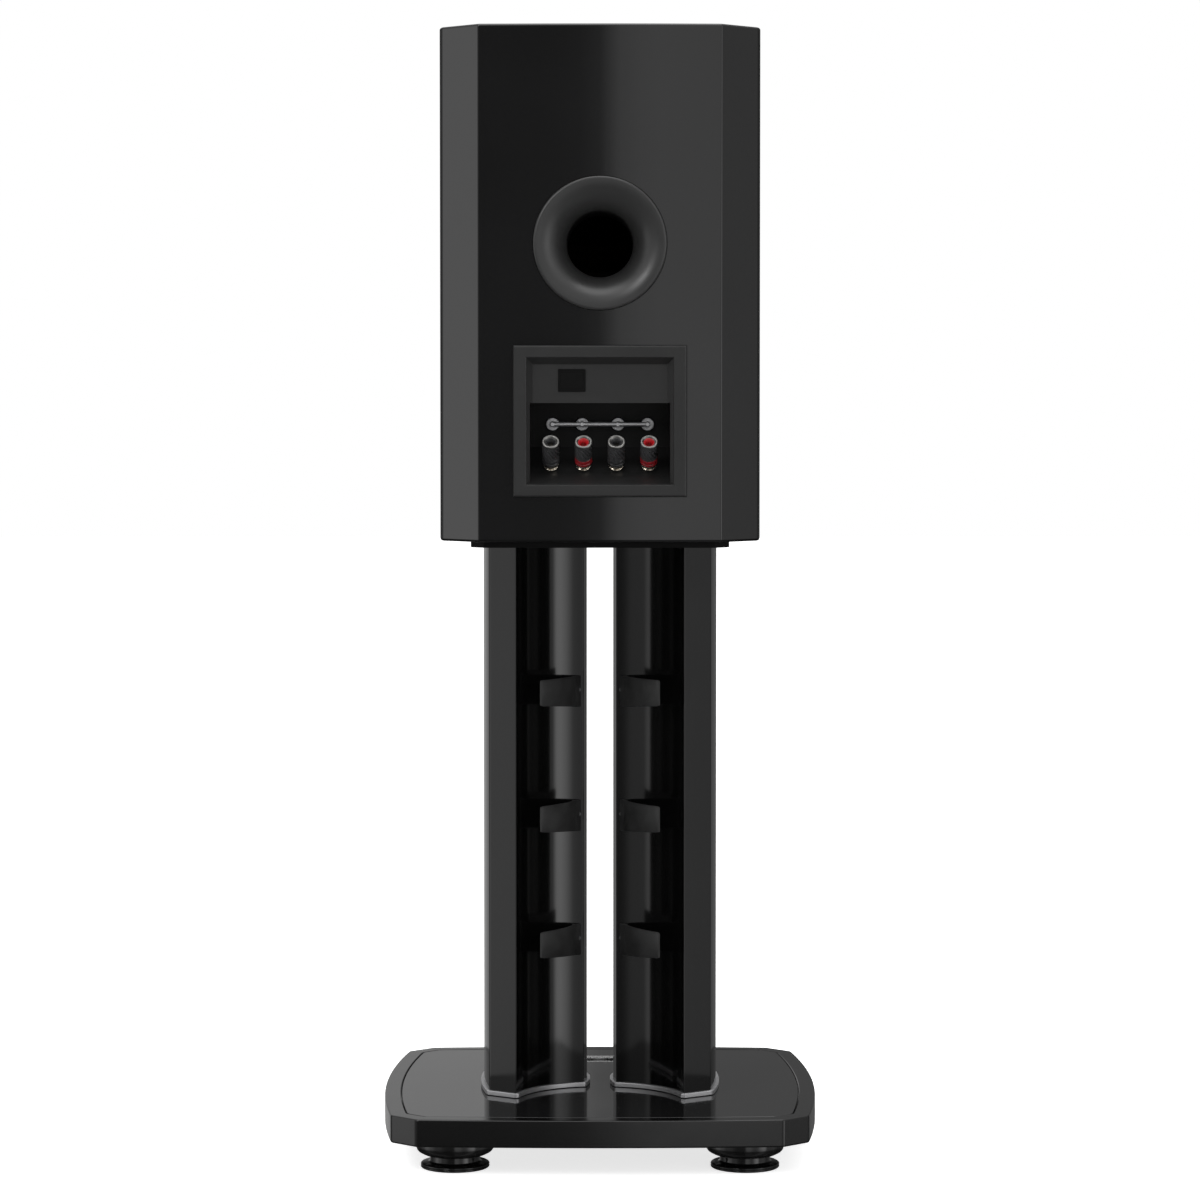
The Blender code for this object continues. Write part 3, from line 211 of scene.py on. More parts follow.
def rounded_slab(outline, low, high, radius, steps=4, low_radius=None):
    """Rings of a prism whose top and bottom edges are rounded."""
    bottom = radius if low_radius is None else low_radius
    return rounded_edge(outline, low, bottom, steps, 1) + rounded_edge(outline, high, radius, steps, -1)


def circle(radius, z, segments):
    """Ring of points about Z."""
    angles = [2 * math.pi * i / segments for i in range(segments)]
    return [(radius * math.cos(angle), radius * math.sin(angle), z) for angle in angles]


def hexagon(reach, z, segments, limit=math.inf):
    """Ring on a hexagon whose flats are at the reach, its corners cut at the limit."""
    points = []
    for i in range(segments):
        angle = 2 * math.pi * i / segments
        local = (angle + math.pi / 6) % (math.pi / 3) - math.pi / 6
        radius = min(reach / math.cos(local), limit)
        points.append((radius * math.cos(angle), radius * math.sin(angle), z))
    return points


def box_middle(low, high):
    return Vector(((low.x + high.x) / 2, (low.y + high.y) / 2, (low.z + high.z) / 2))


def rounded_box_ring(width, height, radius, z, per_corner=12):
    """Ring on a rounded rectangle, arcs only, from the +X +Y corner."""
    points = []
    for index, (sx, sy) in enumerate([(1, 1), (-1, 1), (-1, -1), (1, -1)]):
        cx = sx * (width / 2 - radius)
        cy = sy * (height / 2 - radius)
        for i in range(per_corner):
            angle = math.pi / 2 * (index + (i + 0.5) / per_corner)
            points.append((cx + radius * math.cos(angle), cy + radius * math.sin(angle), z))
    return points


def tool(bm, at=None):
    """Mesh object used to cut another; it is removed after the cut."""
    bmesh.ops.recalc_face_normals(bm, faces=bm.faces[:])
    mesh = bpy.data.meshes.new("tool")
    bm.to_mesh(mesh)
    bm.free()
    if at is not None:
        mesh.transform(at)
    obj = bpy.data.objects.new("tool", mesh)
    bpy.context.scene.collection.objects.link(obj)
    return obj


def box_tool(low, high):
    bm = bmesh.new()
    bmesh.ops.create_cube(bm, size=1)
    low = Vector(low)
    high = Vector(high)
    size = high - low
    bmesh.ops.scale(bm, vec=size, verts=bm.verts)
    bmesh.ops.translate(bm, vec=(low + high) / 2, verts=bm.verts)
    return tool(bm)


def bore_tool(radius, reach, at, segments=32):
    """Cylinder that cuts a hole through a face, to the reach on both sides."""
    return tool(turned([(0, -reach), (radius, -reach), (radius, reach), (0, reach)], segments), at)


def settle(obj, sharp=32):
    """Apply the modifiers of a piece and shade it again."""
    bpy.context.view_layer.update()
    graph = bpy.context.evaluated_depsgraph_get()
    mesh = bpy.data.meshes.new_from_object(obj.evaluated_get(graph))
    obj.modifiers.clear()
    obj.data = mesh
    mesh.shade_smooth()
    mesh.set_sharp_from_angle(angle=math.radians(sharp))


def carve(obj, tools, operation="DIFFERENCE"):
    for one in tools:
        step = obj.modifiers.new("carve", "BOOLEAN")
        step.operation = operation
        step.solver = "EXACT"
        step.object = one
    settle(obj)
    for one in tools:
        bpy.data.objects.remove(one, do_unlink=True)


def ease_edges(obj, width, segments=2, degrees=35):
    """Small round on every hard edge, with even normals on the flats."""
    step = obj.modifiers.new("ease", "BEVEL")
    step.width = width
    step.segments = segments
    step.limit_method = "ANGLE"
    step.angle_limit = math.radians(degrees)
    step.use_clamp_overlap = True
    step.harden_normals = False
    settle(obj, 60)
    even_normals(obj)


def even_normals(obj):
    step = obj.modifiers.new("even", "WEIGHTED_NORMAL")
    step.keep_sharp = True
    step.weight = 80


# -------------------------------------------------------------- finishes

def new_finish(name, colour, roughness, metallic=0.0):
    mat = bpy.data.materials.new(name)
    mat.use_nodes = True
    shader = mat.node_tree.nodes["Principled BSDF"]
    shader.inputs["Base Color"].default_value = (*colour, 1)
    shader.inputs["Roughness"].default_value = roughness
    shader.inputs["Metallic"].default_value = metallic
    return mat


def shader_of(mat):
    return mat.node_tree.nodes["Principled BSDF"]


def own_space(mat):
    """Coordinates in the piece's own space."""
    return mat.node_tree.nodes.new("ShaderNodeTexCoord").outputs["Object"]


def ranged(tree, source, spans, smooth=False):
    """Map a value from one range to another, given as (from, to, low, high)."""
    node = tree.nodes.new("ShaderNodeMapRange")
    if smooth:
        node.interpolation_type = "SMOOTHSTEP"
    for name, value in zip(("From Min", "From Max", "To Min", "To Max"), spans):
        node.inputs[name].default_value = value
    tree.links.new(source, node.inputs["Value"])
    return node.outputs["Result"]


def noise(mat, scale, detail=3.0, stretch=(1, 1, 1)):
    """Noise in the piece's own space, in features a metre."""
    nodes = mat.node_tree.nodes
    links = mat.node_tree.links
    mapping = nodes.new("ShaderNodeMapping")
    mapping.inputs["Scale"].default_value = stretch
    texture = nodes.new("ShaderNodeTexNoise")
    texture.inputs["Scale"].default_value = scale
    texture.inputs["Detail"].default_value = detail
    links.new(own_space(mat), mapping.inputs["Vector"])
    links.new(mapping.outputs["Vector"], texture.inputs["Vector"])
    return texture.outputs["Fac"]


def spread_roughness(mat, source, low, high):
    spread = ranged(mat.node_tree, source, (0.3, 0.7, low, high))
    mat.node_tree.links.new(spread, shader_of(mat).inputs["Roughness"])


def spread_colour(mat, source, dark, light, low=0.3, high=0.7):
    ramp = mat.node_tree.nodes.new("ShaderNodeValToRGB")
    for stop, position, colour in zip(ramp.color_ramp.elements, (low, high), (dark, light)):
        stop.position = position
        stop.color = (*colour, 1)
    mat.node_tree.links.new(source, ramp.inputs["Fac"])
    mat.node_tree.links.new(ramp.outputs["Color"], shader_of(mat).inputs["Base Color"])


def emboss(mat, source, strength, distance):
    bump = mat.node_tree.nodes.new("ShaderNodeBump")
    bump.inputs["Strength"].default_value = strength
    bump.inputs["Distance"].default_value = distance
    mat.node_tree.links.new(source, bump.inputs["Height"])
    mat.node_tree.links.new(bump.outputs["Normal"], shader_of(mat).inputs["Normal"])


def lacquer(name, tone, low, high):
    """Polished black lacquer with a faint uneven flow."""
    mat = new_finish(name, (tone, tone, tone), low)
    spread_colour(mat, noise(mat, 6.0, 2.0), (tone * 0.8,) * 3, (tone * 1.25, tone * 1.25, tone * 1.3))
    spread_roughness(mat, noise(mat, 14.0, 4.0), low, high)
    emboss(mat, noise(mat, 30.0, 1.0), 0.01, 0.0002)
    return mat


def moulded_cup(name):
    """Grained dark plastic; the recess behind the panel gets painted shade: its reflections are dimmed with depth,
    so it reads duller and darker.
    """
    mat = satin_paint(name, 0.008, 0.40, 0.50, 1500.0, 0.15)
    tree = mat.node_tree
    split = tree.nodes.new("ShaderNodeSeparateXYZ")
    tree.links.new(own_space(mat), split.inputs["Vector"])
    rear = 0.1715
    # Painted shade: the specular level falls from 0.5 to 0.06 deeper in the recess, darkening it where shade falls
    recess_painted_shade = ranged(tree, split.outputs["Y"], (rear - 0.034, rear - 0.009, 0.06, 0.5), smooth=True)
    tree.links.new(recess_painted_shade, shader_of(mat).inputs["Specular IOR Level"])
    return mat


def satin_paint(name, tone, low, high, grain=1400.0, strength=0.10, specular=0.5):
    """Painted or moulded black with a fine grain."""
    mat = new_finish(name, (tone, tone, tone), low)
    shader_of(mat).inputs["Specular IOR Level"].default_value = specular
    spread_colour(mat, noise(mat, 9.0, 3.0), (tone * 0.85,) * 3, (tone * 1.15,) * 3)
    spread_roughness(mat, noise(mat, 40.0, 4.0), low, high)
    emboss(mat, noise(mat, grain, 2.0), strength, 0.0002)
    return mat


def brushed_metal(name, colour, low, high, stretch):
    """Bright metal with fine lines drawn along one direction."""
    mat = new_finish(name, colour, low, 1.0)
    lines = noise(mat, 260.0, 3.0, stretch)
    dark = tuple(c * 0.93 for c in colour)
    light = tuple(min(1.0, c * 1.04) for c in colour)
    spread_colour(mat, lines, dark, light)
    spread_roughness(mat, lines, low, high)
    emboss(mat, lines, 0.02, 0.0001)
    return mat


def moulded_colour(name, colour, low, high):
    mat = new_finish(name, colour, low)
    shader_of(mat).inputs["Coat Weight"].default_value = 0.25
    shader_of(mat).inputs["Coat Roughness"].default_value = 0.12
    dark = tuple(c * 0.82 for c in colour)
    light = tuple(min(1.0, c * 1.12) for c in colour)
    spread_colour(mat, noise(mat, 120.0, 3.0), dark, light)
    spread_roughness(mat, noise(mat, 300.0, 3.0), low, high)
    emboss(mat, noise(mat, 1800.0, 1.0), 0.05, 0.0001)
    return mat


def fibre(name, dark, light, scale, roughness, sheen):
    """Felt, cloth or pressed paper."""
    mat = new_finish(name, light, roughness)
    shader_of(mat).inputs["Sheen Weight"].default_value = sheen
    hairs = noise(mat, scale, 6.0)
    spread_colour(mat, hairs, dark, light)
    emboss(mat, hairs, 0.5, 0.0006)
    return mat


def woven_cloth(name, dark, light, pitch):
    """Resin-treated cloth: crossed waves of thread."""
    mat = fibre(name, dark, light, 900.0, 0.85, 0.3)
    nodes = mat.node_tree.nodes
    links = mat.node_tree.links
    waves = []
    for direction in ("X", "Z"):
        wave = nodes.new("ShaderNodeTexWave")
        wave.bands_direction = direction
        wave.inputs["Scale"].default_value = pitch
        wave.inputs["Distortion"].default_value = 0.4
        links.new(own_space(mat), wave.inputs["Vector"])
        waves.append(wave.outputs["Fac"])
    cross = nodes.new("ShaderNodeMath")
    cross.operation = "MULTIPLY"
    links.new(waves[0], cross.inputs[0])
    links.new(waves[1], cross.inputs[1])
    emboss(mat, cross.outputs["Value"], 0.6, 0.0004)
    return mat


def raw_board(name):
    """Bare fibreboard with fine flecks, its tone set near black as painted shade for the inside of the cabinet."""
    mat = new_finish(name, (0.020, 0.017, 0.014), 0.9)
    shader_of(mat).inputs["Specular IOR Level"].default_value = 0.1
    flecks = noise(mat, 500.0, 8.0, (1, 1, 0.3))
    spread_colour(mat, flecks, (0.012, 0.010, 0.009), (0.030, 0.025, 0.021))
    emboss(mat, flecks, 0.2, 0.0003)
    return mat


def circuit_board(name):
    """Green board with paler tracks."""
    mat = new_finish(name, (0.02, 0.12, 0.05), 0.35)
    cells = mat.node_tree.nodes.new("ShaderNodeTexVoronoi")
    cells.feature = "DISTANCE_TO_EDGE"
    cells.inputs["Scale"].default_value = 55.0
    mat.node_tree.links.new(own_space(mat), cells.inputs["Vector"])
    spread_colour(mat, cells.outputs["Distance"], (0.10, 0.30, 0.12), (0.015, 0.10, 0.04), 0.05, 0.09)
    emboss(mat, cells.outputs["Distance"], 0.3, 0.0002)
    return mat


def wound_wire(name):
    """Enamelled copper wire in close turns."""
    mat = new_finish(name, (0.55, 0.22, 0.09), 0.3, 1.0)
    wave = mat.node_tree.nodes.new("ShaderNodeTexWave")
    wave.bands_direction = "Z"
    wave.inputs["Scale"].default_value = 160.0
    mat.node_tree.links.new(own_space(mat), wave.inputs["Vector"])
    spread_colour(mat, wave.outputs["Fac"], (0.30, 0.10, 0.04), (0.62, 0.28, 0.12))
    emboss(mat, wave.outputs["Fac"], 0.7, 0.0005)
    return mat


def rubber_finish(name, tone, roughness):
    mat = new_finish(name, (tone, tone, tone), roughness)
    bloom = noise(mat, 60.0, 5.0)
    spread_colour(mat, bloom, (tone * 0.8,) * 3, (tone * 1.3,) * 3)
    spread_roughness(mat, bloom, roughness - 0.08, roughness + 0.08)
    emboss(mat, noise(mat, 2200.0, 2.0), 0.12, 0.0002)
    return mat


# Each finish by the name of its slot: the function that makes it and what it takes
RECIPES = {
    "cabinet_lacquer": (lacquer, 0.0030, 0.010, 0.025),
    "base_lacquer": (satin_paint, 0.003, 0.10, 0.15, 1400.0, 0.10, 0.40),
    "gloss_panel": (lacquer, 0.006, 0.06, 0.11),
    "column_lacquer": (lacquer, 0.0015, 0.09, 0.12),
    "plate_paint": (satin_paint, 0.0025, 0.42, 0.55, 900.0, 0.15, 0.09),
    "foot_paint": (satin_paint, 0.004, 0.10, 0.16, 500.0, 0.02),
    "port_plastic": (satin_paint, 0.015, 0.34, 0.42, 1200.0, 0.06),
    "badge_face": (satin_paint, 0.0025, 0.30, 0.36, 600.0, 0.03, 0.12),
    "cup_plastic": (moulded_cup,),
    "satin_metal": (brushed_metal, (0.74, 0.74, 0.75), 0.50, 0.58, (1, 1, 1)),
    "cap_metal": (brushed_metal, (0.20, 0.197, 0.19), 0.34, 0.42, (1, 1, 1)),
    "trim_metal": (brushed_metal, (0.52, 0.52, 0.53), 0.46, 0.52, (1, 1, 1)),
    "red_ring": (moulded_colour, (0.17, 0.005, 0.008), 0.28, 0.40),
    "bright_metal": (brushed_metal, (0.72, 0.72, 0.72), 0.24, 0.32, (1, 1, 1)),
    "post_metal": (brushed_metal, (0.78, 0.72, 0.62), 0.14, 0.24, (1, 0.1, 1)),
    "red_plastic": (moulded_colour, (0.36, 0.008, 0.012), 0.25, 0.38),
    "black_plastic": (moulded_colour, (0.019, 0.019, 0.020), 0.26, 0.36),
    "rubber": (rubber_finish, 0.010, 0.62),
    "steel": (brushed_metal, (0.16, 0.16, 0.165), 0.38, 0.52, (1, 0.2, 1)),
    # bare board inside the cabinet, near black as painted shade
    "raw_board": (raw_board,),
    "felt": (fibre, (0.03, 0.03, 0.03), (0.10, 0.10, 0.10), 700.0, 0.95, 0.3),
    "cone_paper": (fibre, (0.010, 0.010, 0.011), (0.030, 0.030, 0.032), 420.0, 0.55, 0.1),
    "spider_cloth": (woven_cloth, (0.22, 0.15, 0.04), (0.50, 0.37, 0.14), 260.0),
    "circuit_board": (circuit_board,),
    "copper": (wound_wire,),
}
FINISH = {slot: recipe[0](slot + "_finish", *recipe[1:]) for slot, recipe in RECIPES.items()}


def dress_frame():
    """Give every carried-over CAD node the finish of its slot."""
    for part in frame["record"]["subparts"]:
        node = frame["nodes"][part["node"]]
        node.data.materials.clear()
        node.data.materials.append(FINISH[part["material_slot"]])


# --------------------------------------------------------------- cabinet

SHELL_LOW, SHELL_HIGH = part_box("cabinet_shell")
BAFFLE_LOW, BAFFLE_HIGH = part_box("front_baffle")
CUP_LOW, CUP_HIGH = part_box("terminal_cup")
PORT_LOW, PORT_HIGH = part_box("port_flare")
WOOFER_LOW, WOOFER_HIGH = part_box("woofer_frame")
HORN_LOW, HORN_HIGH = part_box("horn_waveguide")

HALF_WIDTH = SHELL_HIGH.x
REAR_Y = SHELL_HIGH.y
WALL = 0.018
REAR_BOW = 0.003
REAR_FLAT = 0.1053
CHAMFER = 0.0347
SIDE_ROUND = 0.0109
REAR_ROUND = 0.0030
EDGE_ROUND = 0.0025
FRONT_CHAMFER = 0.012
CUP_REBATE = 0.003
CUP_HOLE = (0.0671, 0.0584)
PORT_Z = (PORT_LOW.z + PORT_HIGH.z) / 2
CUP_Z = (CUP_LOW.z + CUP_HIGH.z) / 2
WOOFER_Z = (WOOFER_LOW.z + WOOFER_HIGH.z) / 2
HORN_Z = (HORN_LOW.z + HORN_HIGH.z) / 2


def fillet(before, corner, after, radius, steps):
    """Arc that rounds a corner between two straight edges."""
    before, corner, after = Vector(before), Vector(corner), Vector(after)
    back = (before - corner).normalized()
    ahead = (after - corner).normalized()
    half = back.angle(ahead) / 2
    reach = radius / math.tan(half)
    middle = corner + (back + ahead).normalized() * (radius / math.sin(half))
    start = corner + back * reach - middle
    end = corner + ahead * reach - middle
    points = []
    for k in range(steps + 1):
        t = k / steps
        angle = start.angle(end)
        a = start * math.sin((1 - t) * angle) / math.sin(angle)
        b = end * math.sin(t * angle) / math.sin(angle)
        points.append(tuple(middle + a + b))
    return points


def shell_plan(front):
    """Plan of the cabinet, anticlockwise from the front right corner."""
    x = HALF_WIDTH
    edge_y = REAR_Y - REAR_BOW
    side = (x, edge_y - CHAMFER)
    rear = (REAR_FLAT, edge_y)
    right = [(x, front)]
    right += fillet((x, front), side, rear, SIDE_ROUND, 10)
    right += fillet(side, rear, (0, edge_y + REAR_BOW * 0.5), REAR_ROUND, 8)
    left = [(-px, py) for px, py in right][::-1]
    return right + bowed(right[-1], left[0], REAR_Y - right[-1][1], 48)[1:] + left


def leave_bare(obj, low, high):
    """Give the faces inside a box the look of bare board, kept near black as painted shade."""
    obj.data.materials.append(FINISH["raw_board"])
    for face in obj.data.polygons:
        inside = all(a < c < b for a, c, b in zip(low, face.center, high))
        face.material_index = 1 if inside else 0


def add_shell():
    front = SHELL_LOW.y
    spare = 0.010
    rings = rounded_slab(shell_plan(front - spare), SHELL_LOW.z, SHELL_HIGH.z, EDGE_ROUND, 5)
    shell = make(
        "cabinet_shell_fine", skinned(rings), "cabinet_lacquer",
    )
    x = HALF_WIDTH - WALL
    back = REAR_Y - REAR_BOW - WALL
    c = CHAMFER - 0.006
    cavity = [(x, front - 0.03), (x, back - c), (x - c, back)]
    cavity += mirrored(cavity)
    low = SHELL_LOW.z + WALL
    high = SHELL_HIGH.z - WALL
    port = PORT_HIGH.x + GAP
    tools = [
        tool(skinned([at_height(cavity, low), at_height(cavity, high)])),
        box_tool((-1, front - 0.05, 0), (1, front, 2)),
        bore_tool(port, 0.04, aim((0, REAR_Y, PORT_Z), REAR_OUT), 128),
        box_tool(
            (CUP_LOW.x - GAP, REAR_Y - CUP_REBATE, CUP_LOW.z - GAP),
            (CUP_HIGH.x + GAP, REAR_Y + spare, CUP_HIGH.z + GAP),
        ),
        box_tool(
            (-CUP_HOLE[0], REAR_Y - 0.05, CUP_Z - CUP_HOLE[1]),
            (CUP_HOLE[0], REAR_Y + spare, CUP_Z + CUP_HOLE[1]),
        ),
    ]
    carve(shell, tools)
    leave_bare(shell, (-x - 0.001, front - 0.001, low - 0.001), (x + 0.001, back + 0.001, high + 0.001))
    even_normals(shell)


def baffle_plan(back):
    x = HALF_WIDTH
    c = FRONT_CHAMFER
    front = BAFFLE_LOW.y
    plan = [(x, back), (-x, back)]
    plan += fillet((-x, back), (-x, front), (0, front), c, 12)
    plan += fillet((0, front), (x, front), (x, back), c, 12)
    return plan


def add_baffle():
    back = BAFFLE_HIGH.y
    rings = rounded_slab(baffle_plan(back + 0.010), BAFFLE_LOW.z, BAFFLE_HIGH.z, EDGE_ROUND, 5)
    baffle = make(
        "front_baffle_fine", skinned(rings), "cabinet_lacquer",
    )
    front = BAFFLE_LOW.y
    seat = WOOFER_HIGH.x + GAP
    bore = 0.0945
    step = -0.005
    stepped = [(0, -0.05), (bore, -0.05), (bore, step), (seat, step), (seat, 0.05), (0, 0.05)]
    width = HORN_HIGH.x * 2
    height = HORN_HIGH.z - HORN_LOW.z
    lip = 0.018
    rings = [rounded_box_ring(width - lip, height - lip, 0.020, z) for z in (-0.05, step)]
    rings += [rounded_box_ring(width + 2 * GAP, height + 2 * GAP, 0.012, z) for z in (step, 0.05)]
    tools = [
        box_tool((-1, back, 0), (1, back + 0.05, 2)),
        tool(turned(stepped, 128), aim((0, front, WOOFER_Z), FRONT_OUT)),
        tool(skinned(rings), aim((0, front, HORN_Z), FRONT_OUT)),
    ]
    carve(baffle, tools)
    rim = 0.003
    x = HALF_WIDTH - rim
    leave_bare(baffle, (-x, front + 0.006, BAFFLE_LOW.z + rim), (x, back + 0.001, BAFFLE_HIGH.z - rim))
    even_normals(baffle)


# ------------------------------------------------------------------ port

def add_port():
    radius = PORT_HIGH.x
    rim = PORT_HIGH.y - REAR_Y
    throat = 0.029
    length = 0.055
    wall = 0.003
    lip = radius - 0.0025
    ease = 0.0022
    profile = [(radius, -0.012)]
    for k in range(6):
        angle = math.pi / 2 * k / 5
        profile.append((radius - ease * (1 - math.cos(angle)), rim - ease * (1 - math.sin(angle))))
    sweep = math.radians(78)
    arc = (lip - throat) / math.sin(sweep)
    for i in range(21):
        angle = sweep * i / 20
        profile.append((lip - arc * math.sin(angle), rim - arc * 1.3 * (1 - math.cos(angle))))
    profile += [(throat, -0.032), (throat, -length), (throat + wall, -length)]
    profile += [(throat + 2 * wall, -0.036), (throat + 5 * wall, -0.018)]
    at = aim((0, REAR_Y, PORT_Z), REAR_OUT)
    make("port_flare_fine", turned(profile, 128), "port_plastic", at=at, sharp=50)
    low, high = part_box("port_tube")
    start = high.y - REAR_Y
    end = low.y - REAR_Y
    tail = high.x
    inner = []
    outer = []
    for i in range(9):
        t = i / 8
        grow = (tail - throat - wall) * (1 - math.cos(math.pi / 2 * t))
        z = end + 0.016 * (1 - t)
        inner.append((throat + grow, z))
        outer.append((throat + wall + grow, z))
    profile = [(throat, start)] + inner + outer[::-1] + [(throat + wall, start)]
    make("port_tube_fine", turned(profile, 96), "port_plastic", at=at, sharp=50)


# ------------------------------------------------------------- terminals

CUP_DEPTH = 0.045
FLOOR_DEPTH = 0.0247
FLOOR_RISE = 0.0094
PANEL_DEPTH = 0.006
PANEL_HEIGHT = 0.0391
SIDE_STEP = 0.0027
MOUTH_HALF = 0.0635
MOUTH_HEIGHT = 0.1095
DRAFT = 0.0052
TOP_DRAFT = 0.0055
SOCKET_HOLE = 0.0039
STUD_HOLE = 0.0033
TILT = math.radians(42.3)


def recess_section(front, roof):
    """Side section of the terminals' recess as (depth, height)."""
    bottom = CUP_Z - MOUTH_HEIGHT / 2
    climb = (CUP_DEPTH - FLOOR_DEPTH) / math.tan(TILT)
    return [
        (front, bottom), (0, bottom), (FLOOR_DEPTH, bottom + FLOOR_RISE),
        (CUP_DEPTH, bottom + FLOOR_RISE + climb), (CUP_DEPTH, roof), (front, roof),
    ]


def section_rings(section, half):
    return [[(x, REAR_Y - depth, z) for depth, z in section] for x in (-half, half)]


def mouth_rings(stations):
    """Rectangles, one behind another: (depth, half width, low, high)."""
    rings = []
    for depth, x, low, high in stations:
        y = REAR_Y - depth
        rings.append([(-x, y, low), (x, y, low), (x, y, high), (-x, y, high)])
    return rings


def add_cup():
    front = CUP_HIGH.y
    back = REAR_Y - 0.0014
    deep = REAR_Y - back
    out = REAR_Y - front
    bevel = 0.0020
    x = CUP_HIGH.x
    middle = (CUP_HIGH.z + CUP_LOW.z) / 2
    z = (CUP_HIGH.z - CUP_LOW.z) / 2
    stations = []
    for inset, depth in ((0, deep), (0, out + bevel), (bevel * 0.3, out + bevel * 0.3), (bevel, out)):
        stations.append((depth, x - inset, middle - z + inset, middle + z - inset))
    cup = make("terminal_cup_fine", skinned(mouth_rings(stations)), "cup_plastic")
    half = MOUTH_HALF
    wall = 0.0028
    bottom = CUP_Z - MOUTH_HEIGHT / 2
    top = CUP_Z + MOUTH_HEIGHT / 2
    ledge = top - PANEL_HEIGHT
    climb = (CUP_DEPTH - FLOOR_DEPTH - wall / 2) / math.tan(TILT)
    body = [
        (0.0005, bottom - wall), (FLOOR_DEPTH + wall, bottom + FLOOR_RISE - wall),
        (CUP_DEPTH + wall, bottom + FLOOR_RISE + climb), (CUP_DEPTH + wall, ledge + wall),
        (PANEL_DEPTH + wall, ledge + wall), (PANEL_DEPTH + wall, top + wall), (0.0005, top + wall),
    ]
    carve(cup, [tool(skinned(section_rings(body, half + wall)))], "UNION")
    recess = section_rings(recess_section(-0.01, ledge), half - SIDE_STEP)
    lip = 0.0010
    rise = FLOOR_RISE * PANEL_DEPTH / FLOOR_DEPTH
    mouth = mouth_rings([
        (-0.01, half + lip, bottom - lip, top + lip),
        (out, half + lip, bottom - lip, top + lip),
        (out + lip * 0.3, half + lip * 0.3, bottom - lip * 0.3, top + lip * 0.3),
        (out + lip, half, bottom, top),
        (0, half, bottom, top),
        (PANEL_DEPTH, half - DRAFT, bottom + rise, top - TOP_DRAFT),
    ])
    carve(cup, [tool(skinned(recess))])
    carve(cup, [tool(skinned(mouth))])
    holes = []
    for index in range(1, 5):
        low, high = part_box("jumper_socket_%d" % index)
        middle = box_middle(low, high)
        at = aim((middle.x, REAR_Y - CUP_DEPTH, middle.z), REAR_OUT)
        holes.append(bore_tool(SOCKET_HOLE, 0.01, at))
        holes.append(bore_tool(STUD_HOLE, 0.01, post_place(index)))
    carve(cup, holes)
    ease_edges(cup, 0.0005, 3, 30)


def post_place(index):
    """Foot of a binding post, on the sloping shelf, with local Z along its axis."""
    joint = [j for j in frame["joints"] if j["name"] == "knob_turn_%d" % index][0]
    return aim(joint["pos_m"], joint["axis"])


def add_badge():
    """Blank raised plate with a thin border line."""
    low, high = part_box("badge_plate")
    width = high.x - low.x
    height = high.z - low.z
    at = aim(((low.x + high.x) / 2, low.y, (low.z + high.z) / 2), REAR_OUT)
    deep = high.y - low.y
    edge = 0.0016
    rings = [
        rounded_box_ring(width, height, 0.0006, 0, 4),
        rounded_box_ring(width, height, 0.0006, deep * 0.7, 4),
        rounded_box_ring(width - 0.0006, height - 0.0006, 0.0005, deep, 4),
        rounded_box_ring(width - 2 * edge, height - 2 * edge, 0.0005, deep, 4),
        rounded_box_ring(width - 2 * edge - 0.0004, height - 2 * edge - 0.0004, 0.0004, deep * 0.55, 4),
    ]
    make("badge_plate_fine", skinned(rings), "badge_face", "gloss_panel", at=at)


def knurled(radius, low, high, ribs, depth, twist):
    """Sleeve with helical ribs and plain bands at both ends."""
    bm = bmesh.new()
    segments = ribs * 6
    bands = 18
    bore = radius - 0.0028
    rows = []
    for k in range(bands + 1):
        t = k / bands
        z = low + (high - low) * t
        fade = min(1.0, 8 * t, 8 * (1 - t))
        ring = []
        for i in range(segments):
            angle = 2 * math.pi * i / segments
            wave = 0.5 + 0.5 * math.cos(ribs * (angle + twist * t))
            r = radius - depth * fade * wave ** 2
            ring.append((r * math.cos(angle), r * math.sin(angle), z))
        rows.append(ring)
    skin(bm, rows + [circle(bore, high, segments), circle(bore, low, segments)], loop=True)
    return bm


def hexagon_nut(across, low, high, bore, chamfer):
    """Six-sided collar with chamfered corners."""
    bm = bmesh.new()
    segments = 48
    flat = 0.0002
    corner = across / math.cos(math.pi / 6) - flat
    rows = []
    for inset, z in ((chamfer, low), (0, low + chamfer), (0, high - chamfer), (chamfer, high)):
        rows.append(hexagon(across, z, segments, corner - inset))
    rows += [circle(bore, high, segments), circle(bore, low, segments)]
    skin(bm, rows, loop=True)
    return bm


STUD_TOP = 0.0056
CLAMP_LOW = STUD_TOP + GAP
CLAMP_HIGH = CLAMP_LOW + 0.0080
KNOB_LOW = CLAMP_HIGH + GAP
KNOB_HIGH = KNOB_LOW + 0.0186
KNOB_RADIUS = 0.0077
CAP_HEIGHT = 0.0013


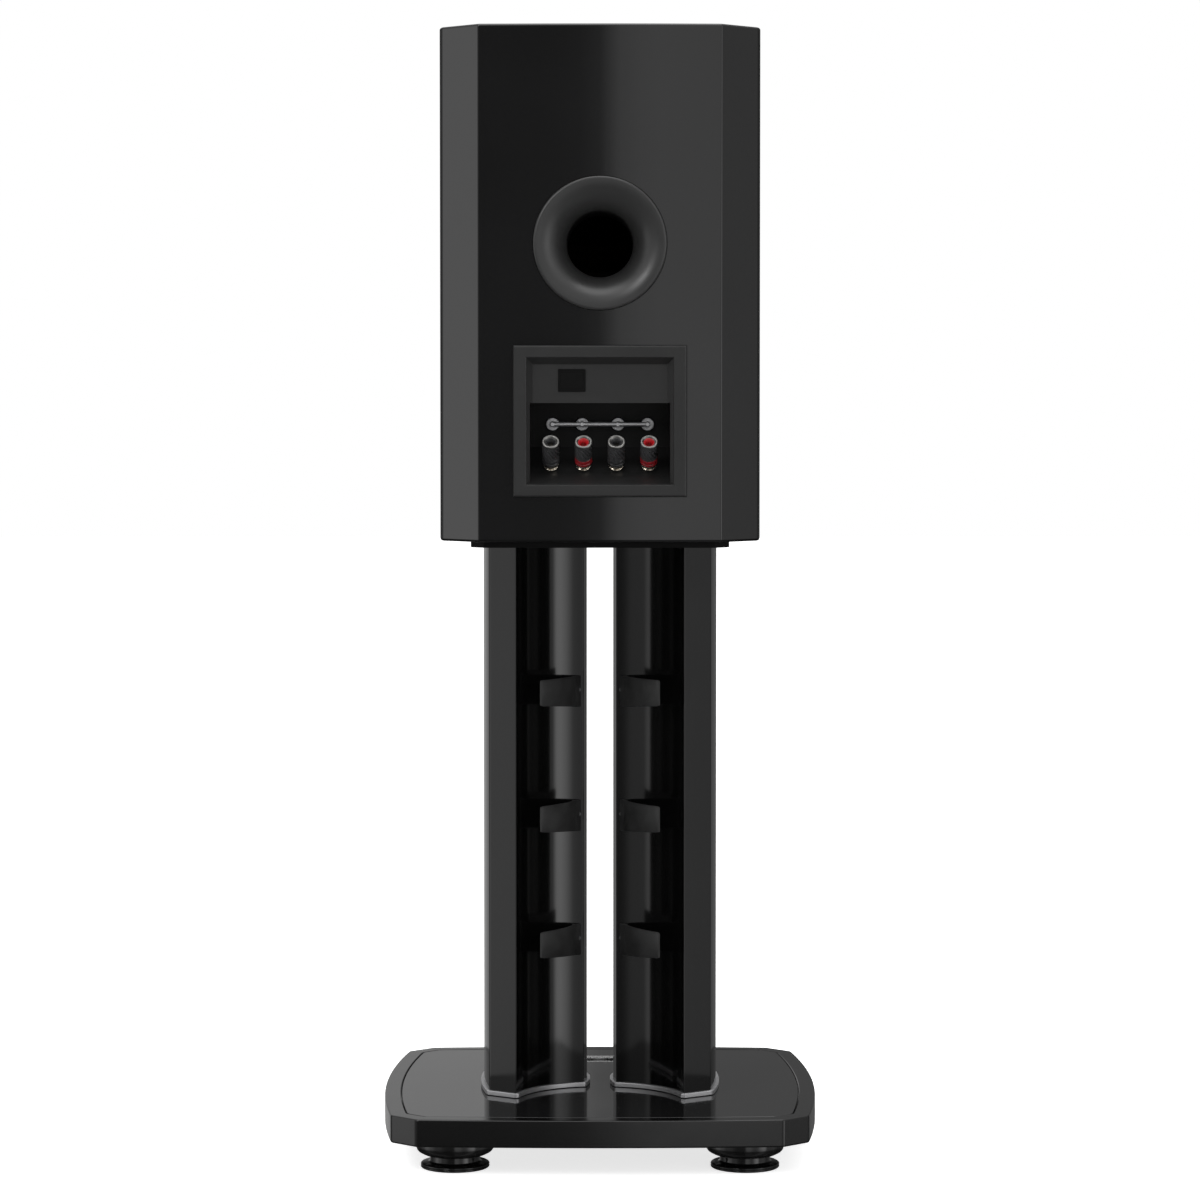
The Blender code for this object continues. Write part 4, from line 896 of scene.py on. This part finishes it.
def add_post(index):
    at = post_place(index)
    colour = "red_plastic" if index % 2 == 0 else "black_plastic"
    number = str(index)
    stud = [
        (0, -0.012), (0.003, -0.012), (0.003, GAP), (0.0066, GAP), (0.0066, 0.0018),
        (0.0054, 0.0020), (0.0054, 0.0026), (0.0038, 0.0026), (0.0038, STUD_TOP),
        (0.0024, STUD_TOP), (0.0024, 0.0235), (0, 0.0235),
    ]
    make("post_stud_fine_" + number, turned(softened(stud, 0.0004), 48), "post_metal", at=at, sharp=50)
    nut = hexagon_nut(0.0057, 0.0028, STUD_TOP, 0.0039, 0.0004)
    make("post_nut_" + number, nut, "post_metal", at=at)
    r = KNOB_RADIUS - 0.0001
    ring = [
        (0.0030, CLAMP_LOW), (r - 0.0008, CLAMP_LOW), (r, CLAMP_LOW + 0.0012), (r, CLAMP_LOW + 0.0030),
        (r - 0.0006, CLAMP_LOW + 0.0034), (r - 0.0006, CLAMP_LOW + 0.0040), (r, CLAMP_LOW + 0.0044),
        (r, CLAMP_HIGH - 0.0004), (r - 0.0004, CLAMP_HIGH), (0.0030, CLAMP_HIGH),
    ]
    ring_look = "red_ring" if colour == "red_plastic" else colour
    make("clamp_ring_fine_" + number, turned(softened(ring, 0.0003), 64), ring_look, colour,
         body="clamp_" + number, at=at, sharp=50)
    body = "knob_" + number
    sleeve = knurled(KNOB_RADIUS - 0.00005, KNOB_LOW, KNOB_HIGH - CAP_HEIGHT, 13, 0.0013, 1.5)
    make("post_sleeve_" + number, sleeve, "black_plastic", body=body,
         stands_for=["post_knob_" + number], at=at, sharp=60)
    base = KNOB_HIGH - CAP_HEIGHT + 0.0001
    cap = [
        (0.0049, base), (KNOB_RADIUS, base), (KNOB_RADIUS, KNOB_HIGH - 0.0007),
        (KNOB_RADIUS - 0.0007, KNOB_HIGH), (0.0060, KNOB_HIGH), (0.0049, KNOB_HIGH - 0.0010),
    ]
    make("post_cap_" + number, turned(softened(cap, 0.0002), 64), "cap_metal", "bright_metal",
         body=body, at=at, sharp=60)
    top = KNOB_HIGH - 0.0012
    insert = [
        (0.0030, top - 0.0120), (0.0048, top - 0.0120), (0.0048, top), (0.0043, top),
        (0.0030, top - 0.0022), (0.0026, top - 0.0030), (0.0026, top - 0.0115),
    ]
    make("post_insert_" + number, turned(softened(insert, 0.0003), 48), colour,
         body=body, at=at, sharp=50)


def add_jumper():
    centres = []
    for index in range(1, 5):
        name = "jumper_socket_%d" % index
        low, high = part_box(name)
        centre = box_middle(low, high)
        centre.y = REAR_Y - CUP_DEPTH
        centres.append(centre)
        rim = (high.z - low.z) / 2
        face = high.y - centre.y
        profile = [
            (0.0024, -0.012), (0.0036, -0.012), (0.0036, GAP), (rim, GAP), (rim, face * 0.8),
            (rim - 0.0004, face), (0.0024, face),
        ]
        make("jumper_socket_fine_%d" % index, turned(softened(profile, 0.0002), 64), "satin_metal",
             "bright_metal", at=aim(centre, REAR_OUT), sharp=50)
    low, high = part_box("jumper_bridge")
    standoff = 0.0075
    rod_r = 0.0020
    half = centres[0].x
    bm = bmesh.new()
    rod = [(0, -half), (rod_r, -half), (rod_r, half), (0, half)]
    turn(bm, softened(rod, 0.0004), 48)
    middle = (centres[0] + centres[3]) / 2 + REAR_OUT * standoff
    bridge = make("jumper_rod", bm, "satin_metal", "bright_metal", body="jumper",
                  stands_for=["jumper_bridge"],
                  at=aim(middle, (1, 0, 0)), sharp=50)
    plugs = []
    reach = high.y - centres[0].y
    for centre in centres:
        plug = [(0, -0.010), (0.0016, -0.010), (0.0021, -0.008)]
        plug += [(0.0021, reach - 0.0005), (0.0016, reach), (0, reach)]
        plugs.append(tool(turned(plug, 40), aim(centre, REAR_OUT)))
    carve(bridge, plugs, "UNION")


# ----------------------------------------------------------------- stand

def base_corners():
    """Plain outline of the base, bowed on all four sides."""
    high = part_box("base_plate")[1]
    side_bow = 0.0125
    end_bow = 0.0055
    x = high.x - side_bow
    y = high.y - end_bow
    near_x = x - 0.023
    near_y = y - 0.020
    corner = [(x, -near_y), (x, near_y), (near_x, y), (-near_x, y),
              (-x, near_y), (-x, -near_y), (-near_x, -y), (near_x, -y)]
    points = []
    for index in range(0, 8, 2):
        bow = side_bow if index % 4 == 0 else end_bow
        points += bowed(corner[index], corner[index + 1], bow, 20)
        points.append(corner[index + 1])
    return points


def base_plan(inset, radius):
    """Base outline moved in by the inset, its corners rounded to the radius."""
    plain = offset(base_corners(), -inset)
    count = len(plain)
    side = count // 4
    points = []
    for i in range(count):
        if i % side in (0, side - 1):
            points += fillet(plain[i - 1], plain[i], plain[(i + 1) % count], radius, 6)
        else:
            points.append(plain[i])
    return points


def add_base():
    low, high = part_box("base_plate")
    inset_low, inset_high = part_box("base_inset")
    border = 0.0145
    floor = inset_low.z - GAP
    ease = 0.0016
    outer = base_plan(0, 0.007)
    pocket = base_plan(border, 0.010)
    lip = base_plan(border - 0.0006, 0.010)
    rings = rounded_slab(outer, low.z, high.z, ease)
    rings.append(at_height(lip, high.z))
    rings.append(at_height(pocket, high.z - 0.0006))
    rings.append(at_height(pocket, floor))
    base = make("base_plate_fine", skinned(rings), "base_lacquer", sharp=35)
    even_normals(base)
    panel = base_plan(border + 0.0010, 0.010)
    rings = rounded_slab(panel, inset_low.z, inset_high.z, 0.0008, 3, 0.0002)
    inset = make("base_inset_fine", skinned(rings), "gloss_panel", sharp=35)
    even_normals(inset)
    low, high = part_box("front_accent_strip")
    width = high.x - low.x
    depth = high.y - low.y
    at = Matrix.Translation(((low.x + high.x) / 2, (low.y + high.y) / 2, low.z))
    tall = high.z - low.z
    rings = [rounded_box_ring(width, depth, 0.0012, z, 5) for z in (0, tall - 0.0004)]
    rings.append(rounded_box_ring(width - 0.0008, depth - 0.0008, 0.0010, tall, 5))
    make("front_accent_strip_fine", skinned(rings), "bright_metal", at=at)


GROOVE = 0.0235
TIP = (0.075, 0.081)
GROOVE_RADIUS = ((TIP[1] - GROOVE) ** 2 + TIP[0] ** 2) / (2 * (TIP[1] - GROOVE))
THROAT_X = 0.0148
FACET = (0.0995, 0.065)
NOSE = (0.012, 0.0095)
OUTER_X = 0.106
ROD_HOLE = 0.0046


def cove_point(x):
    """Point on the groove both columns share, and the wall's direction there."""
    drop = math.sqrt(GROOVE_RADIUS ** 2 - x ** 2)
    return Vector((x, GROOVE + GROOVE_RADIUS - drop)), Vector((drop, x)) / GROOVE_RADIUS


def cove_points(steps):
    """Evenly spaced points of the groove from its throat to the column's tip."""
    start = math.asin(THROAT_X / GROOVE_RADIUS)
    sweep = math.asin(TIP[0] / GROOVE_RADIUS) - start
    angles = [start + sweep * i / steps for i in range(steps + 1)]
    return [tuple(cove_point(GROOVE_RADIUS * math.sin(angle))[0]) for angle in angles]


def column_plan():
    """Plan of the +X column, anticlockwise, with small rounds at its corners."""
    groove = cove_points(40)
    half = fillet((NOSE[0], -NOSE[1]), NOSE, groove[0], 0.006, 4)
    half += fillet(NOSE, groove[0], groove[1], 0.0012, 5)
    half += groove[2:-1]
    half += fillet(groove[-2], groove[-1], FACET, 0.0006, 5)
    half += fillet(TIP, FACET, (FACET[0] + 0.0008, FACET[1] - 0.008), 0.004, 4)
    x, y = half[-1]
    lower = [(px, -py) for px, py in half[:-1]]
    return lower + bowed((x, -y), (x, y), OUTER_X - x, 32) + half[::-1]


def column_bore():
    """Plan of the space inside the +X column."""
    half = [NOSE] + cove_points(8) + [FACET]
    x, y = FACET
    lower = [(px, -py) for px, py in half[:-1]]
    return offset(lower + bowed((x, -y), (x, y), OUTER_X - x, 8) + half[::-1], -0.006)


def mirrored(outline):
    return [(-x, y) for x, y in outline][::-1]


def add_columns():
    for side in ("left", "right"):
        low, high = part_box("column_" + side)
        flip = mirrored if side == "right" else list
        plan = flip(column_plan())
        column = make("column_fine_" + side, skinned([at_height(plan, low.z), at_height(plan, high.z)]),
                      "column_lacquer", sharp=38)
        wall = flip(column_bore())
        bore = skinned([at_height(wall, low.z - 0.01), at_height(wall, high.z + 0.01)])
        carve(column, [tool(bore)])
        even_normals(column)
        low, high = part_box("column_trim_" + side)
        plan = flip(offset(column_plan(), 0.0029))
        trim = make("column_trim_fine_" + side, skinned(rounded_slab(plan, low.z, high.z, 0.0005, 3)),
                    "trim_metal", "bright_metal", sharp=38)
        rod = box_middle(*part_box("column_rod_" + side))
        carve(trim, [bore_tool(ROD_HOLE, 0.01, Matrix.Translation((rod.x, 0, low.z)))])
        even_normals(trim)


def add_top_plate():
    low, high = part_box("stand_top_plate")
    x = high.x
    y = high.y
    c = 0.012
    corners = [(x, -y + c), (x, y - c), (x - c, y), (-x + c, y)]
    corners += [(-px, -py) for px, py in corners]
    plan = []
    for i in range(8):
        plan += fillet(corners[i - 1], corners[i], corners[(i + 1) % 8], 0.004, 5)
    make("stand_top_plate_fine", skinned(rounded_slab(plan, low.z, high.z, 0.0008, 3)),
         "plate_paint", sharp=40)


def clip_line():
    """Middle line of a clip in plan, from the cove to its free end."""
    root, along = cove_point(0.0218)
    out = Vector((-along.y, along.x))
    base = root + out * 0.0006
    tip = Vector((0.0528, 0.084))
    bend = base + Vector((0.0035, 0.018))
    lead = tip - Vector((0.0168, 0.018))
    return base, along, out, [base, bend, lead, tip]


def clip_rings(sign, drop_free, drop_extra):
    base, along, out, line = clip_line()
    stations = [(base, along, 0.0080, 1.0), (base + out * 0.0012, along, 0.0080, 1.0),
                (base + out * 0.0024, along, 0.0060, 1.0)]
    steps = 28
    for i in range(3, steps + 1):
        t = i / steps
        here = curve_point(line, t)
        heading = (here - curve_point(line, t - 0.02)).normalized()
        across = Vector((heading.y, -heading.x))
        width = 0.0026 + 0.0022 * max(0.0, 1 - t * 5) ** 2
        stations.append((here, across, width, 1 - t))
    rings = []
    for index, (here, across, width, extra) in enumerate(stations):
        drop = drop_free + drop_extra * extra
        last = index == len(stations) - 1
        shrink = 0.0006 if last else 0.0
        round_off = 0.0005
        half = width / 2 - (0.0004 if last else 0)
        corners = []
        for sx, top in ((-1, True), (1, True), (1, False), (-1, False)):
            z = -shrink if top else -drop + shrink
            inward = round_off if top else -round_off
            outer = here + across * sx * half
            inner = here + across * sx * (half - round_off)
            pair = [(outer, z - inward), (inner, z)] if (sx < 0) == top else [(inner, z), (outer, z - inward)]
            corners += [(sign * p.x, p.y, height) for p, height in pair]
        rings.append(corners)
    return rings


def socket_screw(name, origin, direction, radius, thick=0.0016):
    """Small cap screw with a six-sided socket."""
    segments = 36
    head = ((0.96, 0), (1, 0.2), (1, 0.7), (0.86, 1))
    rows = [circle(radius * wide, thick * rise, segments) for wide, rise in head]
    rows += [hexagon(radius * 0.45, thick * rise, segments) for rise in (1, 0.35)]
    return make(name, skinned(rows), "steel", at=aim(origin, direction))


def add_clips():
    base, along, out = clip_line()[:3]
    for side, sign in (("left", 1), ("right", -1)):
        for index in (1, 2, 3):
            node = "cable_clip_%s_%d" % (side, index)
            low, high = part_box(node)
            drop = 0.0233
            extra = high.z - low.z - drop
            make("cable_clip_fine_%s_%d" % (side, index), skinned(clip_rings(sign, drop, extra)),
                 "rubber", at=Matrix.Translation((0, 0, high.z)), sharp=50)
            seat = base + out * 0.0022 - along * 0.0024
            seat = Vector((sign * seat.x, seat.y, high.z - drop * 0.55))
            facing = Vector((sign * out.x, out.y, 0))
            socket_screw("clip_screw_%s_%d" % (side, index), seat, facing, 0.0014, thick=0.0010)


def foot_rings():
    disc_low, disc_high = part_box("foot_disc_rear_left")
    house_low, house_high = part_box("foot_housing_rear_left")
    r = (disc_high.x - disc_low.x) / 2
    neck = disc_high.z
    thick = 0.0045
    disc = [
        (0, 0), (r - 0.0010, 0), (r, 0.0008), (r, 0.0018), (r - 0.0007, 0.0021), (r - 0.0007, 0.0025),
        (r, 0.0028), (r, thick - 0.0008), (r - 0.0010, thick), (r - 0.0045, thick + 0.0004),
        (0.0235, thick + 0.0006), (0.0222, thick + 0.0018), (0.0220, neck), (0, neck),
    ]
    R = (house_high.x - house_low.x) / 2
    z0 = house_low.z
    z1 = house_high.z
    house = [(0, z0), (R - 0.0085, z0), (R - 0.0060, z0 + 0.0010), (R - 0.0022, z0 + 0.0030),
             (R - 0.0005, z0 + 0.0052), (R, z0 + 0.0075), (R, z1), (0, z1)]
    return disc, house


def add_feet():
    disc, house = foot_rings()
    for corner in ("rear_left", "rear_right", "front_left", "front_right"):
        low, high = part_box("foot_disc_" + corner)
        at = Matrix.Translation(((low.x + high.x) / 2, (low.y + high.y) / 2, 0))
        make("foot_disc_fine_" + corner, turned(softened(disc, 0.0004, 2), 96), "foot_paint", at=at,
             sharp=50)
        make("foot_housing_fine_" + corner, turned(softened(house, 0.0012, 3), 96), "foot_paint", at=at,
             sharp=50)


# ------------------------------------------------------- front and driver

BORE = 0.0940
CONE_EDGE = 0.0785
COIL = 0.0192


def add_basket():
    front = BAFFLE_LOW.y
    radius = WOOFER_HIGH.x
    face = front - WOOFER_LOW.y
    inner = BORE - 0.0035
    seat = GAP - 0.005
    at = aim((0, front, WOOFER_Z), FRONT_OUT)
    rim = [
        (radius, seat), (radius, face - 0.0010), (radius - 0.0010, face), (inner + 0.0085, face),
        (inner + 0.0078, face - 0.0005), (inner + 0.0014, face - 0.0005), (inner, face - 0.0018),
    ]
    shell = [(inner, -0.021), (0.0525, -0.0755), (0.026, -0.0755)]
    shell += [(0.026, -0.079), (0.056, -0.079), (BORE, -0.021)]
    basket = make("woofer_frame_fine", turned(softened(rim + shell + [(BORE, seat)], 0.0004), 120),
                  "plate_paint", at=at, sharp=45)
    windows = []
    for index in range(3):
        bm = bmesh.new()
        bmesh.ops.create_cube(bm, size=1)
        bmesh.ops.scale(bm, vec=(0.2664, 0.0395, 0.036), verts=bm.verts)
        spin = Matrix.Rotation(math.pi * index / 3 + math.pi / 2, 4, "Y")
        windows.append(tool(bm, Matrix.Translation((0, front + 0.0458, WOOFER_Z)) @ spin))
    carve(basket, windows)
    for index in range(6):
        angle = math.pi / 3 * index + math.pi / 6
        r = radius - 0.0048
        where = Vector((r * math.cos(angle), front - face, WOOFER_Z + r * math.sin(angle)))
        socket_screw("woofer_screw_%d" % (index + 1), where - FRONT_OUT * 0.0012, FRONT_OUT, 0.0030)


def add_cone():
    """Cone with its dust cap and voice coil, turned as one piece."""
    inner = COIL - 0.0004
    outer = COIL + 0.0004
    neck = -0.046
    rim = -0.006
    cap = 0.029
    slope = (rim - neck) / (CONE_EDGE - outer)
    cap_z = neck + (cap - outer) * slope
    dome = []
    for i in range(13):
        r = cap * i / 12
        dome.append((r, cap_z + 0.011 * (1 - (r / cap) ** 2)))
    under = []
    for i in range(5):
        r = cap * 0.5 * i / 4
        under.append((r, cap_z + 0.011 * (1 - (r / cap) ** 2) - 0.0016))
    profile = dome + [(cap + 0.0004, cap_z - 0.0002)]
    profile += [(CONE_EDGE - 0.0010, rim), (CONE_EDGE, rim - 0.0010), (outer, neck - 0.0010), (outer, -0.098)]
    profile += [(inner, -0.098), (inner, neck)] + under[::-1]
    make("woofer_cone_fine", turned(profile, 120), "cone_paper", body="woofer_moving", at=aim((0,
         BAFFLE_LOW.y, WOOFER_Z), FRONT_OUT), sharp=40)


def add_surround():
    inner = CONE_EDGE + 0.0005
    outer = BORE - 0.0035 - GAP
    middle = (inner + outer) / 2
    reach = (outer - inner) / 2
    top = []
    under = []
    for i in range(21):
        angle = math.pi * i / 20
        top.append((middle - reach * math.cos(angle), -0.0048 + 0.0062 * math.sin(angle)))
        under.append((middle - (reach - 0.001) * math.cos(angle), -0.0058 + 0.0052 * math.sin(angle)))
    make("woofer_surround_fine", turned(top + under[::-1], 120), "rubber", at=aim((0, BAFFLE_LOW.y,
         WOOFER_Z), FRONT_OUT), sharp=60)


def horn_size(t, width, height):
    """Width, height and corner radius of the horn's air space at a share of its depth."""
    throat = 0.036
    flare = (1 - t) ** 1.6
    w = throat + (width - throat) * flare
    h = throat + (height - throat) * flare
    return w, h, 0.018 + (min(w, h) / 2 - 0.018) * t


def add_horn():
    front = BAFFLE_LOW.y
    face = front - HORN_LOW.y
    width = HORN_HIGH.x * 2
    height = HORN_HIGH.z - HORN_LOW.z
    depth = 0.0947
    back = GAP - 0.005
    mouth_w = width - 0.026
    mouth_h = height - 0.026
    rings = [
        rounded_box_ring(width, height, 0.012, back), rounded_box_ring(width, height, 0.012, face - 0.0008),
        rounded_box_ring(width - 0.0016, height - 0.0016, 0.0115, face),
        rounded_box_ring(mouth_w + 0.003, mouth_h + 0.003, 0.0195, face),
        rounded_box_ring(mouth_w + 0.0008, mouth_h + 0.0008, 0.0184, face - 0.0008),
    ]
    outer = []
    for i in range(1, 20):
        t = i / 20
        w, h, r = horn_size(t, mouth_w, mouth_h)
        rings.append(rounded_box_ring(w, h, r, -depth * t))
        if t in (0.25, 0.5, 0.75):
            outer.append(rounded_box_ring(w + 0.012, h + 0.012, r + 0.006, -depth * t - 0.0018))
    pad = 0.032
    rings.append(rounded_box_ring(0.036, 0.036, 0.018, -depth))
    rings.append(rounded_box_ring(2 * pad, 2 * pad, pad, -depth))
    rings.append(rounded_box_ring(2 * pad, 2 * pad, pad, -depth + 0.008))
    rings += outer[::-1]
    rings.append(rounded_box_ring(width - 0.0192, height - 0.0192, 0.020, back))
    at = aim((0, front, HORN_Z), FRONT_OUT)
    horn = make("horn_waveguide_fine", skinned(rings, loop=True), "port_plastic", at=at, sharp=40)
    even_normals(horn)
    for index, (sx, sz) in enumerate([(1, 1), (-1, 1), (-1, -1), (1, -1)]):
        reach_x, reach_z = width / 2 - 0.0075, height / 2 - 0.0075
        where = Vector((sx * reach_x, front - face + 0.0012, HORN_Z + sz * reach_z))
        socket_screw("horn_screw_%d" % (index + 1), where, FRONT_OUT, 0.0026)


def main():
    dress_frame()
    add_shell()
    add_baffle()
    add_port()
    add_cup()
    add_badge()
    for index in range(1, 5):
        add_post(index)
    add_jumper()
    add_base()
    add_columns()
    add_top_plate()
    add_clips()
    add_feet()
    add_basket()
    add_cone()
    add_surround()
    add_horn()


# ---------------------------------------------------------------- studio

def environment():
    """Studio walls as a soft wrap of light, bright and dim by direction."""
    world = bpy.data.worlds.new("studio")
    bpy.context.scene.world = world
    world.use_nodes = True
    nodes = world.node_tree.nodes
    links = world.node_tree.links
    nodes.clear()
    place = nodes.new("ShaderNodeTexCoord")
    split = nodes.new("ShaderNodeSeparateXYZ")
    flip = nodes.new("ShaderNodeMath")
    flip.operation = "MULTIPLY"
    flip.inputs[1].default_value = -1.0
    bearing = nodes.new("ShaderNodeMath")
    bearing.operation = "ARCTAN2"
    links.new(place.outputs["Generated"], split.inputs["Vector"])
    links.new(split.outputs["X"], flip.inputs[0])
    links.new(flip.outputs["Value"], bearing.inputs[0])
    links.new(split.outputs["Y"], bearing.inputs[1])
    share = ranged(world.node_tree, bearing.outputs["Value"], (-math.pi, math.pi))
    ramp = nodes.new("ShaderNodeValToRGB")
    # Degrees from +Y towards -X, and brightness; a ramp takes no more than these 32 stops
    stops = [
        (-180, 0.16), (-179.4, 0.44), (-168, 0.44), (-150, 0.15), (-122, 0.12), (-102, 0.55),
        (-92, 1.45), (-84, 1.42), (-76, 0.95), (-67, 0.95), (-61, 0.46), (-42, 0.44),
        (-32, 0.20), (-20, 0.12), (-3.6, 0.14), (-0.2, 0.20), (1.6, 0.90), (4, 1.02),
        (14, 1.00), (26, 0.52), (36, 0.66), (46, 1.80), (54, 2.40), (60, 2.30),
        (66, 0.55), (76, 0.50), (86, 0.56), (96, 0.46), (110, 0.16), (150, 0.12),
        (179, 0.15), (180, 0.16),
    ]
    elements = ramp.color_ramp.elements
    while len(elements) > 1:
        elements.remove(elements[-1])
    top = 2.5  # a ramp's colour goes no higher than 1, so the strength carries the rest
    elements[0].position = 0.0
    elements[0].color = (stops[0][1] / top,) * 3 + (1,)
    for degrees, value in stops[1:]:
        stop = elements.new((degrees + 180) / 360)
        stop.color = (value / top,) * 3 + (1,)
    links.new(share, ramp.inputs["Fac"])
    rise = ranged(world.node_tree, split.outputs["Z"], (0.35, 0.8))
    dome = nodes.new("ShaderNodeMix")
    dome.data_type = "RGBA"
    dome.inputs["B"].default_value = (0.36, 0.36, 0.36, 1)
    links.new(rise, dome.inputs["Factor"])
    links.new(ramp.outputs["Color"], dome.inputs["A"])
    below = ranged(world.node_tree, split.outputs["Z"], (-0.36, -0.14, 0.12 * top, top), smooth=True)
    wrap = nodes.new("ShaderNodeBackground")
    links.new(below, wrap.inputs["Strength"])
    links.new(dome.outputs["Result"], wrap.inputs["Color"])
    plain = nodes.new("ShaderNodeBackground")
    plain.inputs["Color"].default_value = (1, 1, 1, 1)
    path = nodes.new("ShaderNodeLightPath")
    mix = nodes.new("ShaderNodeMixShader")
    output = nodes.new("ShaderNodeOutputWorld")
    links.new(path.outputs["Is Camera Ray"], mix.inputs["Fac"])
    links.new(wrap.outputs["Background"], mix.inputs[1])
    links.new(plain.outputs["Background"], mix.inputs[2])
    links.new(mix.outputs["Shader"], output.inputs["Surface"])


def soft_light(name, origin, target, size, power):
    data = bpy.data.lights.new(name, "AREA")
    data.shape = "SQUARE"
    data.size = size
    data.energy = power
    obj = bpy.data.objects.new(name, data)
    bpy.context.scene.collection.objects.link(obj)
    obj.location = origin
    obj.rotation_euler = (Vector(target) - Vector(origin)).to_track_quat("-Z", "Y").to_euler()


def studio():
    bm = bmesh.new()
    bmesh.ops.create_grid(bm, x_segments=1, y_segments=1, size=14)
    mesh = bpy.data.meshes.new("studio_floor")
    bm.to_mesh(mesh)
    bm.free()
    floor = bpy.data.objects.new("studio_floor", mesh)
    bpy.context.scene.collection.objects.link(floor)
    floor.location.z = -0.0002
    floor.visible_glossy = False
    pale = new_finish("studio_floor_finish", (0.93, 0.93, 0.93), 0.9)
    shader_of(pale).inputs["Specular IOR Level"].default_value = 0.0
    shader_of(pale).inputs["Emission Color"].default_value = (1, 1, 1, 1)
    shader_of(pale).inputs["Emission Strength"].default_value = 0.75
    mesh.materials.append(pale)
    soft_light("top_softbox", (0.0, 0.3, 3.4), (0, 0, 0.4), 2.6, 55)
    soft_light("key_softbox", (1.9, 2.9, 2.6), (0, 0.1, 0.6), 1.2, 40)
    environment()


def add_camera():
    """Straight rear view, slightly above the cabinet's middle."""
    data = bpy.data.cameras.new("camera")
    data.sensor_width = 36.0
    data.lens = 114.39
    data.shift_y = -0.05
    camera = bpy.data.objects.new("camera", data)
    bpy.context.scene.collection.objects.link(camera)
    camera.location = (0, REAR_Y + 3.301, 0.6877)
    pitch = math.radians(2.29)
    camera.rotation_euler = (math.pi / 2 - pitch, 0, math.pi)
    bpy.context.scene.camera = camera
    bpy.context.scene.view_settings.view_transform = "Standard"


add_camera()
studio()
main()
